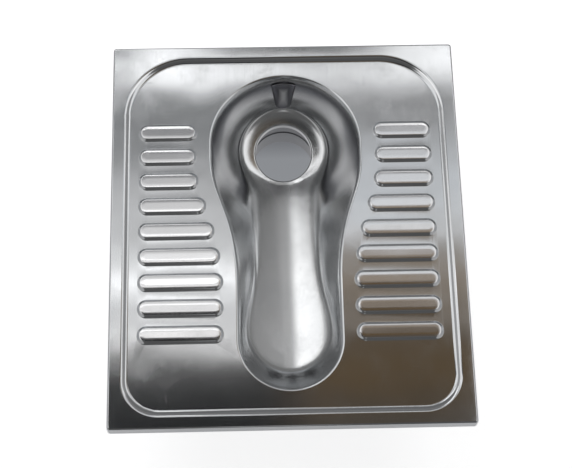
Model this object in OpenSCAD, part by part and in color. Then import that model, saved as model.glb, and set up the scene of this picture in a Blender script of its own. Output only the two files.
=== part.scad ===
// Squat toilet: a floor pan pressed and welded from stainless sheet, with two ribbed treads,
// a keyhole-shaped bowl, a flush hood at the rear, an outlet spigot below and the fittings
// on its underside.
//
// Millimetres. +X is right, +Y is rear (the flush and outlet end), +Z is up.
// The origin is on the outlet's axis, at the spigot's lower end.

/* [Deck] */
// Width of the deck, side to side
deck_w = 520; // [500:5:600]
// Length of the deck, front to rear
deck_l = 600; // [590:5:680]
// Height from the spigot's lower end to the rim's top face
overall_h = 195; // [185:1:240]
// Thickness of the pressed sheet
sheet_t = 1.2; // [0.8:0.1:1.5]
// Depth of the folded skirt
skirt_h = 22; // [20:1:30]
// Outside radius of the folds along the skirt
fold_r = 3; // [2:0.5:3.5]
// Radius of the skirt's upright corners, seen from above
corner_r = 4.5; // [4:0.5:8]
// Width of the return flange under the skirt
return_w = 12; // [8:1:16]
// Notch in the return flange at each corner
return_notch = 14; // [10:1:30]

/* [Treads] */
// Width of the flat rim round the recess
rim_w = 17; // [14:1:28]
// Width of the step from the rim to the recess
step_w = 11.5; // [8:0.5:14]
// Depth of the recess below the rim
step_drop = 4.5; // [3:0.5:6]
// Radius of the recess's rear corners
rear_corner_r = 98; // [60:2:110]
// Radius of the recess's front corners
front_corner_r = 56; // [40:1:80]
// Ribs on each tread
rib_count = 9; // [5:1:9]
// Distance from rib to rib
rib_pitch = 39.8; // [38:0.2:42]
// Width of a rib
rib_w = 28.5; // [26:0.5:32]
// Height of a rib above the tread
rib_h = 3; // [2:0.5:4]
// Radius of a rib's corners, seen from above
rib_corner_r = 11; // [9:0.5:12.5]
// Width of a rib's rounded shoulder
rib_shoulder = 4.5; // [2.5:0.1:5.5]
// Distance of the row's middle in front of the deck's middle
rib_row_shift = 2.5; // [0:0.5:10]
// Tread left between a rib's outer end and the step
rib_outer_gap = 11.5; // [8:0.5:18]
// Tread left between a rib's inner end and the mouth
rib_inner_gap = 17; // [12:0.5:24]

/* [Mouth] */
// Length of the mouth
mouth_l = 500; // [490:5:520]
// Deck behind the mouth
mouth_rear_gap = 47.5; // [44:0.5:60]
// Radius of the mouth's rear end
mouth_rear_r = 115; // [105:1:120]
// Radius of the mouth's front end
mouth_front_r = 77.5; // [72:0.5:82]
// Straight run beside the rear end
mouth_rear_straight = 19.5; // [10:0.5:30]
// Radius of the flank, where the mouth starts to narrow
flank_r = 180; // [150:5:220]
// Radius of the waist, where it runs straight again
waist_r = 366; // [300:2:400]
// Angle of the taper from flank to waist
waist_angle = 18.5; // [17:0.5:22]
// Radius of the mouth's rolled lip
lip_r = 5; // [4:0.5:6]
// Angle through which the lip rolls down
lip_angle = 60; // [50:1:70]

/* [Bowl] */
// Depth of the floor's front end below the rim
floor_front_depth = 62; // [50:1:75]
// Depth of the floor in front of the outlet, below the rim
floor_rear_depth = 142; // [130:1:150]
// Distance from the mouth's front end to the floor's front end
floor_front_gap = 48.5; // [40:0.5:60]
// Radius of the floor's front end
floor_front_r = 57.5; // [52:0.5:64]
// Half the width of the floor's narrow stretch
floor_neck = 44.5; // [40:0.5:48]
// Length over which the floor widens towards the front
floor_flare_l = 112; // [90:2:130]
// How far the floor dips below its edges, midway
floor_dip = 6; // [3:0.5:9]
// Length of the wall's curve out of the lip
wall_head = 14; // [8:1:20]
// Share of the wall's run that its curve into the floor takes
wall_foot = 0.6; // [0.4:0.05:0.8]

/* [Outlet] */
// Distance from the mouth's rear end to the outlet's axis
outlet_back = 73.5; // [70:0.5:80]
// Radius of the outlet's hole
outlet_r = 44.5; // [42:0.5:45]
// Radius of the hole's rolled edge
outlet_lip_r = 3; // [2:0.5:3.5]
// Height of the turned-down collar below the rolled edge
collar_h = 8; // [5:1:12]
// Radius of the flat land round the hole
land_r = 55; // [54:0.5:58]
// Rise of the land towards the rear, in degrees
land_tilt = 12.5; // [8:0.5:14]
// Outside radius of the spigot
spigot_r = 50.8; // [50.2:0.1:52]
// Wall of the spigot
spigot_t = 1.5; // [1:0.1:1.8]
// Length of the bare stretch at the spigot's lower end
spigot_bare = 26; // [18:1:30]
// Width of the rolled groove that holds the seal
seal_w = 10; // [8:0.5:12]
// Depth of the rolled groove
groove_depth = 1.2; // [0.8:0.1:1.4]
// How far the seal's lips stand out of the spigot
seal_lip = 4; // [3:0.5:6]

/* [Flush inlet] */
// Outside radius of the inlet pipe and of the flush pipe that joins it
inlet_r = 16; // [12:0.5:18]
// Wall of the inlet pipe
inlet_t = 1.5; // [1:0.1:2]
// Depth of the inlet's axis below the rim
inlet_depth = 50; // [48:1:58]
// Stretch of the inlet pipe behind the bowl's wall
inlet_out = 28; // [26:1:32]
// Stretch of the inlet pipe inside the wall
inlet_in = 2; // [1:0.5:3]
// Wall of the rubber sleeve
sleeve_t = 4.5; // [3:0.5:5]
// Stretch of sleeve on the inlet pipe
sleeve_grip = 20; // [16:1:22]
// Stretch of sleeve left open for the flush pipe
sleeve_socket = 22; // [16:1:24]
// Width of the stop inside the sleeve
sleeve_stop = 2; // [1.5:0.5:4]
// Width of the clip's band
clip_w = 9; // [6:0.5:12]
// Thickness of the clip's band
clip_t = 0.8; // [0.6:0.1:1.2]

/* [Flush hood] */
// Depth of the hood's top edge below the rim
hood_top_depth = 17; // [14:1:22]
// Depth of the hood's lower edge below the rim
hood_low_depth = 80; // [74:1:84]
// Half the hood's width at its top
hood_top_half = 18.7; // [18:0.1:22]
// Half the hood's width at its lower edge
hood_low_half = 12.6; // [11:0.1:15]
// How far the hood stands off the wall at its lower edge
hood_stand = 13; // [10:0.5:16]
// Sheet of the hood
hood_t = 1; // [0.8:0.1:1.5]

/* [Underside] */
// Distance from the deck's middle to each stiffener's middle
stiffener_x = 170; // [160:1:176]
// Length of a stiffener
stiffener_l = 400; // [300:10:420]
// Width of a stiffener's channel
stiffener_w = 30; // [24:1:34]
// Depth of a stiffener's channel
stiffener_h = 13; // [8:1:13]
// Width of each stiffener flange
stiffener_flange = 10; // [8:1:12]
// Thickness of the stiffener's sheet
stiffener_t = 1.2; // [1:0.1:1.5]
// Thickness of the damping pads
pad_t = 2.5; // [1.5:0.5:4]
// Length of a tread pad
tread_pad_l = 170; // [100:5:180]
// Tread left between a tread pad and its neighbours
tread_pad_gap = 4; // [2:0.5:8]
// Width of the bowl pad
bowl_pad_w = 52; // [30:1:60]
// Length of the bowl pad
bowl_pad_l = 170; // [100:5:190]

/* [Anchors] */
// Distance between the outer anchors of a side
anchor_span = 400; // [300:10:440]
// Width of an anchor's strap
anchor_w = 25; // [20:1:35]
// Thickness of an anchor's strap
anchor_t = 2; // [1.5:0.5:3]
// Drop of an anchor below the return flange
anchor_drop = 35; // [25:1:60]
// Length of an anchor's foot
anchor_foot = 24; // [20:1:30]
// Radius of the hole in an anchor's foot
anchor_hole_r = 4.5; // [3:0.5:6]

/* [Earthing] */
// Distance of the earth tag to the left of the deck's middle
earth_x = 150; // [120:5:200]
// Width of the earth tag
earth_tag_w = 22; // [16:1:30]
// Thickness of the earth tag
earth_tag_t = 2; // [1.5:0.5:3]
// Distance from the skirt to the tag's hole
earth_reach = 24; // [22:1:30]
// Radius of the tag's hole
earth_hole_r = 3.2; // [2.5:0.1:4]

/* [Hidden] */
$fn = 96;

STEEL = [0.72, 0.73, 0.74];
DARK_STEEL = [0.55, 0.56, 0.58];
RUBBER = [0.10, 0.10, 0.11];
PAD = [0.20, 0.20, 0.22];

// Clearance between pieces that are welded or seated on each other
seat = 0.1;
// Root gap of the butt weld between the lip and the bowl
weld_gap = 0.4;
// Width of the flat margin with which a swept fold overlaps the sheets beside it
margin = 4;
// How far a cutter runs past what it cuts
cut = 1;
// Steps in each swept fold
fold_steps = 4;

// ---- Heights and places, from the middle of the rim's top face ----

tread_z = -step_drop;
tread_under = tread_z - sheet_t;
skirt_z = -skirt_h;
mouth_rear_y = deck_l / 2 - mouth_rear_gap;
mouth_front_y = mouth_rear_y - mouth_l;
outlet_y = mouth_rear_y - outlet_back;
floor_front_y = mouth_front_y + floor_front_gap;
// The land's front edge, where the sloping floor meets it
land_front_y = outlet_y - land_r;

// ---- Paths of straight and round legs ----

// A leg is [length, turn]: turn is 0 on a straight, and an arc's whole change of heading.
// A stance is [x, y, heading].
function along(stance, leg, s) =
    let (h = stance[2], turned = leg[1] * s / leg[0])
    leg[1] == 0
        ? [stance.x + s * cos(h), stance.y + s * sin(h), h]
        : let (r = leg[0] * 180 / (PI * leg[1]))
          [stance.x + r * (sin(h + turned) - sin(h)),
           stance.y - r * (cos(h + turned) - cos(h)), h + turned];
function arc(r, turn) = [r * abs(turn) * PI / 180, turn];
function path_length(path, i = 0) = i == len(path) ? 0 : path[i][0] + path_length(path, i + 1);
// The stance at a distance s along a path
function travel(path, stance, s, i = 0) =
    s <= path[i][0] || i == len(path) - 1
        ? along(stance, path[i], min(s, path[i][0]))
        : travel(path, along(stance, path[i], path[i][0]), s - path[i][0], i + 1);
// The stance at the start of leg i
function leg_start(path, stance, i) =
    i == 0 ? stance : along(leg_start(path, stance, i - 1), path[i - 1], path[i - 1][0]);
// A point beside a stance, to its left: outwards on a path that runs clockwise
function beside(stance, out) =
    [stance.x - out * sin(stance[2]), stance.y + out * cos(stance[2])];
// A closed outline of a path that covers the right half, and of its mirror image
outline_steps = 60;
function outline(path, stance, out) =
    let (whole = path_length(path),
         right = [for (i = [0:outline_steps])
             beside(travel(path, stance, whole * i / outline_steps), out)])
    concat(right, [for (i = [outline_steps - 1:-1:1]) [-right[i].x, right[i].y]]);

// Sweeps a profile of [out, height] points along a path whose arcs all turn clockwise
module sweep(path, stance, profile) {
    for (i = [0:len(path) - 1]) {
        leg = path[i];
        from = leg_start(path, stance, i);
        if (leg[1] == 0)
            translate([from.x, from.y, 0]) rotate([90, 0, 90 + from[2]])
                linear_extrude(leg[0]) polygon(profile);
        else {
            r = -leg[0] * 180 / (PI * leg[1]);
            translate(concat(beside(from, -r), 0)) rotate(from[2] + 90 + leg[1])
                rotate_extrude(angle = -leg[1]) polygon([for (p = profile) [r + p.x, p.y]]);
        }
    }
}
module both_sides() {
    children();
    mirror([1, 0, 0]) children();
}

// ---- Sheets given as grids of points ----

function unit(v) = v / norm(v);
function lerp(a, b, t) = a + (b - a) * t;
// The grid moved by t along its normals. Seen from its face, a grid's columns run to the right
// and its rows run down, and the normals point away from the viewer.
function thicken(grid, t, wrap) =
    let (rows = len(grid), n = len(grid[0]))
    [for (j = [0:rows - 1]) [for (i = [0:n - 1])
        let (i0 = wrap ? (i + n - 1) % n : max(i - 1, 0),
             i1 = wrap ? (i + 1) % n : min(i + 1, n - 1),
             across = grid[j][i1] - grid[j][i0],
             down = grid[min(j + 1, rows - 1)][i] - grid[max(j - 1, 0)][i])
        grid[j][i] + t * unit(cross(across, down))]];
module sheet_solid(face, back, wrap) {
    rows = len(face);
    n = len(face[0]);
    cols = wrap ? n : n - 1;
    function at(side, j, i) = side * rows * n + j * n + i % n;
    function quad(a, b, c, d) = [[a, b, c], [a, c, d]];
    faces = concat(
        [for (j = [0:rows - 2], i = [0:cols - 1])
            each quad(at(0, j, i), at(0, j, i + 1), at(0, j + 1, i + 1), at(0, j + 1, i))],
        [for (j = [0:rows - 2], i = [0:cols - 1])
            each quad(at(1, j, i), at(1, j + 1, i), at(1, j + 1, i + 1), at(1, j, i + 1))],
        [for (i = [0:cols - 1])
            each quad(at(0, 0, i), at(1, 0, i), at(1, 0, i + 1), at(0, 0, i + 1))],
        [for (i = [0:cols - 1])
            each quad(at(0, rows - 1, i), at(0, rows - 1, i + 1),
                      at(1, rows - 1, i + 1), at(1, rows - 1, i))],
        wrap ? [] : [for (j = [0:rows - 2])
            each quad(at(0, j, 0), at(0, j + 1, 0), at(1, j + 1, 0), at(1, j, 0))],
        wrap ? [] : [for (j = [0:rows - 2])
            each quad(at(0, j, n - 1), at(1, j, n - 1), at(1, j + 1, n - 1), at(0, j + 1, n - 1))]);
    polyhedron([for (g = [face, back], row = g, p = row) p], faces);
}

// ---- The mouth and the floor, seen from above ----

mouth_start = [0, mouth_rear_y, 0];
mouth_taper = (mouth_rear_r - mouth_front_r - (flank_r + waist_r) * (1 - cos(waist_angle)))
    / sin(waist_angle);
mouth_side = mouth_l - mouth_rear_r - mouth_rear_straight - mouth_front_r
    - (flank_r + waist_r) * sin(waist_angle) - mouth_taper * cos(waist_angle);
mouth_path = [
    arc(mouth_rear_r, -90), [mouth_rear_straight, 0], arc(flank_r, -waist_angle),
    [mouth_taper, 0], arc(waist_r, waist_angle), [mouth_side, 0], arc(mouth_front_r, -90)
];

// Angle and radius of the floor's curve from the land into its narrow stretch
neck_angle = 25;
neck_r = 40;
neck_run = (land_r * cos(neck_angle) - floor_neck - neck_r * (1 - cos(neck_angle)))
    / sin(neck_angle);
flare_angle = 2 * atan((floor_front_r - floor_neck) / floor_flare_l);
flare_r = floor_flare_l / (2 * sin(flare_angle));
floor_start = [0, outlet_y + land_r, 0];
floor_straight = outlet_y - (land_r + neck_r) * sin(neck_angle) - neck_run * cos(neck_angle)
    - floor_flare_l - floor_front_r - floor_front_y;
floor_path = [
    arc(land_r, -90 - neck_angle), [neck_run, 0], arc(neck_r, neck_angle), [floor_straight, 0],
    arc(flare_r, flare_angle), arc(flare_r, -flare_angle), arc(floor_front_r, -90)
];

// ---- The bowl's inside surface ----

// Height of the floor: it slopes back to the outlet, dips along its middle, and meets the
// tilted land
floor_slope = (floor_rear_depth - floor_front_depth) / (land_front_y - floor_front_y);
// How softly the sloping floor runs into the land
floor_blend = 4;
function land_z(y) = -floor_rear_depth + (y - land_front_y) * tan(land_tilt);
function channel_z(x, y) =
    -floor_front_depth - (y - floor_front_y) * floor_slope + floor_dip * pow(x / floor_neck, 2);
function floor_z(p) =
    let (a = channel_z(p.x, p.y), b = land_z(p.y))
    (a + b + sqrt(pow(a - b, 2) + pow(floor_blend, 2))) / 2;
function on_floor(p) = [p.x, p.y, floor_z(p)];

// Stations run round the mouth and the floor alike: down the right side and up the left.
// Rows run down from the lip over the wall and the floor to the outlet's edge.
stations = 38;
lip_rows = 6;
wall_rows = 8;
floor_rows = 4;
edge_rows = 2;
lip_end_z = tread_z - lip_r * (1 - cos(lip_angle));

// The wall's line at a share s of the way round, at a share v of the way down: a curve from
// the lip's end to the floor's edge, in line with both
function wall_point(s, v) =
    let (m = travel(mouth_path, mouth_start, s * path_length(mouth_path)),
         f = travel(floor_path, floor_start, s * path_length(floor_path)),
         top = concat(beside(m, -lip_r * sin(lip_angle) - weld_gap * cos(lip_angle)),
                      lip_end_z - weld_gap * sin(lip_angle)),
         head = [cos(lip_angle) * sin(m[2]), -cos(lip_angle) * cos(m[2]), -sin(lip_angle)],
         foot = on_floor([f.x, f.y]),
         inner = on_floor(beside(f, -1)),
         run = norm([foot.x - top.x, foot.y - top.y]),
         p1 = top + wall_head * head,
         p2 = foot - wall_foot * run * unit(inner - foot))
    pow(1 - v, 3) * top + 3 * v * pow(1 - v, 2) * p1 + 3 * v * v * (1 - v) * p2
        + pow(v, 3) * foot;
function mouth_point(s, out, z) =
    concat(beside(travel(mouth_path, mouth_start, s * path_length(mouth_path)), out), z);
function floor_point(s, v) =
    let (f = travel(floor_path, floor_start, s * path_length(floor_path)),
         way = unit([f.x, f.y - outlet_y]),
         edge = [0, outlet_y] + (outlet_r + outlet_lip_r) * way)
    on_floor(lerp([f.x, f.y], edge, v));
function outlet_lip_point(s, turn, drop) =
    let (f = travel(floor_path, floor_start, s * path_length(floor_path)),
         way = unit([f.x, f.y - outlet_y]),
         edge = [0, outlet_y] + (outlet_r + outlet_lip_r) * way,
         inside = edge - outlet_lip_r * sin(turn) * way)
    concat(inside, floor_z(edge) - outlet_lip_r * (1 - cos(turn)) - drop);
function station(k, p) = k <= stations ? p : [-p.x, p.y, p.z];
function share(k) = (k <= stations ? k : 2 * stations - k) / stations;
bowl_face = concat(
    [for (j = [0:wall_rows]) [for (k = [0:2 * stations - 1])
        station(k, wall_point(share(k), (1 - cos(180 * j / wall_rows)) / 2))]],
    [for (j = [1:floor_rows]) [for (k = [0:2 * stations - 1])
        station(k, floor_point(share(k), j / floor_rows))]],
    [for (j = [1:edge_rows]) [for (k = [0:2 * stations - 1])
        station(k, outlet_lip_point(share(k), 90 * j / edge_rows, 0))]],
    [[for (k = [0:2 * stations - 1]) station(k, outlet_lip_point(share(k), 90, collar_h))]]);

// Moves a piece drawn about the middle of the rim's top face to the part's own origin
module in_place() translate([0, -outlet_y, overall_h]) children();

// ---- Deck ----

deck_path = [
    [deck_w / 2 - corner_r, 0], arc(corner_r, -90), [deck_l - 2 * corner_r, 0],
    arc(corner_r, -90), [deck_w / 2 - corner_r, 0]
];
deck_start = [0, deck_l / 2, 0];
recess_w = deck_w - 2 * rim_w;
recess_l = deck_l - 2 * rim_w;
recess_path = [
    [recess_w / 2 - rear_corner_r, 0], arc(rear_corner_r, -90),
    [recess_l - rear_corner_r - front_corner_r, 0], arc(front_corner_r, -90),
    [recess_w / 2 - front_corner_r, 0]
];
recess_start = [0, recess_l / 2, 0];

function bend(cx, cz, r, from, to) =
    [for (k = [0:fold_steps]) let (a = lerp(from, to, k / fold_steps))
        [cx + r * cos(a), cz + r * sin(a)]];
// An upper edge of [out, height] points, and the same edge one sheet lower
function sheet_profile(edge) =
    concat(edge, [for (i = [len(edge) - 1:-1:0]) [edge[i].x, edge[i].y - sheet_t]]);
// An S-shaped fall of a sheet, from height z to z - drop over a width w inwards
function fall(w, z, drop) =
    sheet_profile(concat([[margin, z]],
        [for (k = [0:2 * fold_steps]) let (t = k / (2 * fold_steps))
            [-w * t, z - drop * (1 - cos(180 * t)) / 2]],
        [[-w - margin, z - drop]]));

skirt_profile = concat(
    [[-corner_r, 0]],
    bend(-fold_r, -fold_r, fold_r, 90, 0),
    bend(-fold_r, skirt_z + fold_r, fold_r, 0, -90),
    [[-corner_r, skirt_z], [-corner_r, skirt_z + sheet_t]],
    bend(-fold_r, skirt_z + fold_r, fold_r - sheet_t, -90, 0),
    bend(-fold_r, -fold_r, fold_r - sheet_t, 0, 90),
    [[-corner_r, -sheet_t]]);
// The mouth's lip, on the bowl's own stations: a flat margin, then the roll
lip_face = concat(
    [[for (k = [0:2 * stations - 1]) station(k, mouth_point(share(k), margin, tread_z))]],
    [for (j = [0:lip_rows]) let (a = lip_angle * j / lip_rows)
        [for (k = [0:2 * stations - 1])
            station(k, mouth_point(share(k), -lip_r * sin(a), tread_z - lip_r * (1 - cos(a))))]]);

mouth_points = outline(mouth_path, mouth_start, 0);
rib_outer_x = recess_w / 2 - step_w - rib_outer_gap;
function rib_y(i) = ((rib_count - 1) / 2 - i) * rib_pitch - rib_row_shift;
// Rounded up to a whole millimetre, so that a rib's straight and round legs meet exactly
function rib_inner_x(y) =
    ceil(max([for (p = mouth_points) if (abs(p.y - y) <= rib_w / 2) p.x])) + rib_inner_gap;
// A rib's outline, clockwise from its inner end's rear
function rib_path(length) = [
    for (side = [length, rib_w, length, rib_w])
        each [[side - 2 * rib_corner_r, 0], arc(rib_corner_r, -90)]
];
module rib_plan(y, out) {
    inner = rib_inner_x(y);
    for (x = [inner + rib_corner_r, rib_outer_x - rib_corner_r], side = [-1, 1])
        translate([x, y + side * (rib_w / 2 - rib_corner_r)]) circle(rib_corner_r + out);
    translate([inner + rib_corner_r, y - rib_w / 2 - out])
        square([rib_outer_x - inner - 2 * rib_corner_r, rib_w + 2 * out]);
    translate([inner - out, y - rib_w / 2 + rib_corner_r])
        square([rib_outer_x - inner + 2 * out, rib_w - 2 * rib_corner_r]);
}
module rib(y) {
    inner = rib_inner_x(y);
    sweep(rib_path(rib_outer_x - inner), [inner + rib_corner_r, y + rib_w / 2, 0],
        sheet_profile(concat([[margin / 2, tread_z]],
            [for (k = [0:2 * fold_steps]) let (t = k / (2 * fold_steps))
                [-rib_shoulder * t, tread_z + rib_h * (1 - cos(180 * t)) / 2]],
            [[-rib_shoulder - margin / 2, tread_z + rib_h]])));
    translate([0, 0, tread_z + rib_h - sheet_t]) linear_extrude(sheet_t)
        rib_plan(y, -rib_shoulder - margin / 4);
}

// Rim, recess, ribs, mouth's lip, skirt and return flange: one pressing
module deck_plate() color(STEEL) in_place() {
    translate([0, 0, -sheet_t]) linear_extrude(sheet_t) difference() {
        square([deck_w - corner_r, deck_l - corner_r], center = true);
        polygon(outline(recess_path, recess_start, margin / 2));
    }
    translate([0, 0, tread_under]) linear_extrude(sheet_t) difference() {
        polygon(outline(recess_path, recess_start, -step_w - margin / 2));
        polygon(outline(mouth_path, mouth_start, margin / 2));
        both_sides() for (i = [0:rib_count - 1]) rib_plan(rib_y(i), margin / 4);
    }
    sheet_solid(lip_face, thicken(lip_face, sheet_t, true), true);
    both_sides() {
        sweep(deck_path, deck_start, skirt_profile);
        sweep(recess_path, recess_start, fall(step_w, 0, step_drop));
        for (i = [0:rib_count - 1]) rib(rib_y(i));
    }
    both_sides() translate([deck_w / 2 - return_w, return_notch - deck_l / 2, skirt_z])
        cube([return_w - fold_r, deck_l - 2 * return_notch, sheet_t]);
    for (y = [fold_r - deck_l / 2, deck_l / 2 - return_w])
        translate([return_notch - deck_w / 2, y, skirt_z])
            cube([deck_w - 2 * return_notch, return_w - fold_r, sheet_t]);
}

// ---- Bowl ----

// The wall's line midway along the rear: its share v at a height, found by halving, and its y
function rear_wall_v(z, low = 0, high = 1, n = 16) =
    let (middle = (low + high) / 2)
    n == 0 ? middle
        : wall_point(0, middle).z > z
            ? rear_wall_v(z, middle, high, n - 1)
            : rear_wall_v(z, low, middle, n - 1);
function rear_wall_y(z) = wall_point(0, rear_wall_v(z)).y;
inlet_wall_y = rear_wall_y(-inlet_depth);

// Deep-drawn shell, butt-welded to the mouth's lip, with the outlet's edge turned down and a
// hole for the inlet pipe
module bowl() color(STEEL) in_place() difference() {
    sheet_solid(bowl_face, thicken(bowl_face, sheet_t, true), true);
    translate([0, inlet_wall_y - inlet_out, -inlet_depth]) rotate([-90, 0, 0])
        cylinder(r = inlet_r + seat, h = 2 * inlet_out);
}

// ---- Flush hood and inlet ----

hood_rows = 9;
hood_cols = 14;
// Rise of the hood's top edge from its sides to its middle
hood_arch = 6;
// How far the hood stands off the wall at its top edge
hood_edge = 1.2;
// A point of the hood's face, at a share t of the way down and an angle round it
function hood_point(t, angle) =
    let (depth = lerp(hood_top_depth, hood_low_depth, t) + hood_arch * (1 - sin(angle)) * (1 - t),
         v = rear_wall_v(-depth),
         half = lerp(hood_top_half, hood_low_half, t),
         stand = hood_edge + (hood_stand - hood_edge) * sqrt(sin(90 * t)),
         x = -half * cos(angle),
         wall_bow = x * x / (2 * lerp(mouth_rear_r - lip_r, land_r, v)))
    [x, wall_point(0, v).y - wall_bow - seat - hood_t - stand * sin(angle), -depth];
hood_face = [for (j = [0:hood_rows]) [for (i = [0:hood_cols])
    hood_point(j / hood_rows, 180 * i / hood_cols)]];

// Cowl over the inlet's mouth, welded to the rear wall and open at the bottom
module flush_hood() color(STEEL) in_place()
    sheet_solid(hood_face, thicken(hood_face, hood_t, false), false);

pipe_end_y = inlet_wall_y + inlet_out;
sleeve_r = inlet_r + sleeve_t;
// Turns a piece drawn round the Z axis to lie along the inlet, from a given y rearwards
module on_inlet(y) translate([0, y, -inlet_depth]) rotate([-90, 0, 0]) children();

module inlet_pipe() color(STEEL) in_place()
    on_inlet(inlet_wall_y - inlet_in) difference() {
        cylinder(r = inlet_r, h = inlet_in + inlet_out);
        translate([0, 0, -cut])
            cylinder(r = inlet_r - inlet_t, h = inlet_in + inlet_out + 2 * cut);
    }

// Rubber sleeve: one end grips the pipe, the other takes the flush pipe up to the stop
module inlet_sleeve() color(RUBBER) in_place()
    on_inlet(pipe_end_y - sleeve_grip) rotate_extrude() polygon([
        [inlet_r + seat, 0], [sleeve_r, 0], [sleeve_r, sleeve_grip + sleeve_stop + sleeve_socket],
        [inlet_r, sleeve_grip + sleeve_stop + sleeve_socket],
        [inlet_r, sleeve_grip + sleeve_stop + seat],
        [inlet_r - inlet_t, sleeve_grip + sleeve_stop + seat],
        [inlet_r - inlet_t, sleeve_grip + seat], [inlet_r + seat, sleeve_grip + seat]
    ]);

clip_r = sleeve_r + seat + clip_t;
clip_screw_r = 2.5;
clip_head_r = 4;
clip_head_h = 4;
clip_slot = [3 * clip_head_r, 1.2, 1.5];
clip_tail = 3;
// Housing of the screw: along the screw, down from the band, and along the inlet
clip_housing = [13, 2 * clip_screw_r + 2, clip_w];
// Distance from the inlet's axis to the clip screw's
clip_screw_drop = clip_r + clip_housing.y / 2 - clip_t / 2;
module on_clip() on_inlet(pipe_end_y - sleeve_grip / 2) children();
// Band round the sleeve, with its screw housing below
module inlet_clip() color(DARK_STEEL) in_place() on_clip() difference() {
    union() {
        difference() {
            cylinder(r = clip_r, h = clip_w, center = true);
            cylinder(r = sleeve_r + seat, h = clip_w + 2 * cut, center = true);
        }
        translate([0, clip_screw_drop, 0]) cube(clip_housing, center = true);
    }
    translate([0, clip_screw_drop, 0]) rotate([0, 90, 0])
        cylinder(r = clip_screw_r + seat, h = clip_housing.x + 2 * cut, center = true);
}
// Slotted screw across the housing
module inlet_clip_screw() color(DARK_STEEL) in_place() on_clip()
    translate([clip_housing.x / 2 + seat, clip_screw_drop, 0]) rotate([0, 90, 0]) difference() {
        union() {
            cylinder(r = clip_head_r, h = clip_head_h);
            translate([0, 0, -clip_housing.x - clip_tail])
                cylinder(r = clip_screw_r, h = clip_housing.x + clip_tail + cut);
        }
        translate([-clip_slot.x / 2, -clip_slot.y / 2, clip_head_h - clip_slot.z])
            cube(clip_slot + [0, 0, cut]);
    }

// ---- Outlet ----

groove_r = spigot_r - groove_depth;
seal_z = -overall_h + spigot_bare;
spigot_top = -floor_rear_depth + 2 * land_r;
// Tube with a rolled groove for the seal, its top cut to the land's underside
module outlet_spigot() color(STEEL) in_place() translate([0, outlet_y, 0]) difference() {
    rotate_extrude() polygon([
        [spigot_r - spigot_t, -overall_h], [spigot_r, -overall_h], [spigot_r, seal_z],
        [groove_r, seal_z], [groove_r, seal_z + seal_w], [spigot_r, seal_z + seal_w],
        [spigot_r, spigot_top], [spigot_r - spigot_t, spigot_top],
        [spigot_r - spigot_t, seal_z + seal_w + spigot_t],
        [groove_r - spigot_t, seal_z + seal_w + spigot_t],
        [groove_r - spigot_t, seal_z - spigot_t], [spigot_r - spigot_t, seal_z - spigot_t]
    ]);
    translate([0, 0, land_z(outlet_y) - (sheet_t + seat) / cos(land_tilt)]) rotate([land_tilt, 0, 0])
        translate([-2 * land_r, -2 * land_r, 0]) cube([4, 4, 4] * land_r);
}

seal_body_r = spigot_r + 0.4 * seal_lip;
// Ring with two soft lips, seated in the spigot's groove
module outlet_seal() color(RUBBER) in_place() translate([0, outlet_y, seal_z]) rotate_extrude()
    polygon([
        [groove_r + seat, seat], [seal_body_r, seat],
        [spigot_r + seal_lip, 0.3 * seal_w], [seal_body_r, 0.4 * seal_w],
        [seal_body_r, 0.6 * seal_w], [spigot_r + seal_lip, 0.85 * seal_w],
        [seal_body_r, seal_w - seat], [groove_r + seat, seal_w - seat]
    ]);

// ---- Underside ----

// Hat channel along a tread, its flanges welded up against the sheet
module stiffener(side) color(DARK_STEEL) in_place()
    translate([side * stiffener_x, stiffener_l / 2, tread_under - seat]) rotate([90, 0, 0])
        linear_extrude(stiffener_l) difference() {
            union() {
                translate([-stiffener_w / 2 - stiffener_flange, -stiffener_t])
                    square([stiffener_w + 2 * stiffener_flange, stiffener_t]);
                translate([-stiffener_w / 2, -stiffener_h]) square([stiffener_w, stiffener_h]);
            }
            translate([-stiffener_w / 2 + stiffener_t, -stiffener_h + stiffener_t])
                square([stiffener_w - 2 * stiffener_t, stiffener_h]);
        }
module stiffener_left() stiffener(-1);
module stiffener_right() stiffener(1);

tread_pad_inner = mouth_front_r + sheet_t + tread_pad_gap;
tread_pad_outer = stiffener_x - stiffener_w / 2 - stiffener_flange - tread_pad_gap;
tread_pad_rear = mouth_front_y + mouth_front_r + mouth_side;
// Damping pad glued under the front of a tread, between the bowl and the stiffener
module tread_pad(side) color(PAD) in_place()
    translate([side * (tread_pad_inner + tread_pad_outer) / 2,
               tread_pad_rear - tread_pad_l / 2, tread_under - seat - pad_t / 2])
        cube([tread_pad_outer - tread_pad_inner, tread_pad_l, pad_t], center = true);
module tread_pad_left() tread_pad(-1);
module tread_pad_right() tread_pad(1);

bowl_pad_y = (floor_front_y + land_front_y) / 2;
bowl_pad_steps = 6;
bowl_pad_face = [for (j = [0:bowl_pad_steps]) [for (i = [0:bowl_pad_steps])
    on_floor([bowl_pad_w * (i / bowl_pad_steps - 0.5),
              bowl_pad_y + bowl_pad_l * (0.5 - j / bowl_pad_steps)])]];
// Damping pad glued under the bowl's sloping floor
module bowl_pad() color(PAD) in_place()
    sheet_solid(thicken(bowl_pad_face, sheet_t + seat, false),
                thicken(bowl_pad_face, sheet_t + seat + pad_t, false), false);

// ---- Anchors and earth tag ----

flange_top = skirt_z + sheet_t + seat;
anchor_x = deck_w / 2 - return_w - seat;
anchor_foot_z = skirt_z - anchor_drop;
anchor_hole_x = anchor_x - anchor_t - (anchor_foot - anchor_t) / 2;
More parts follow.
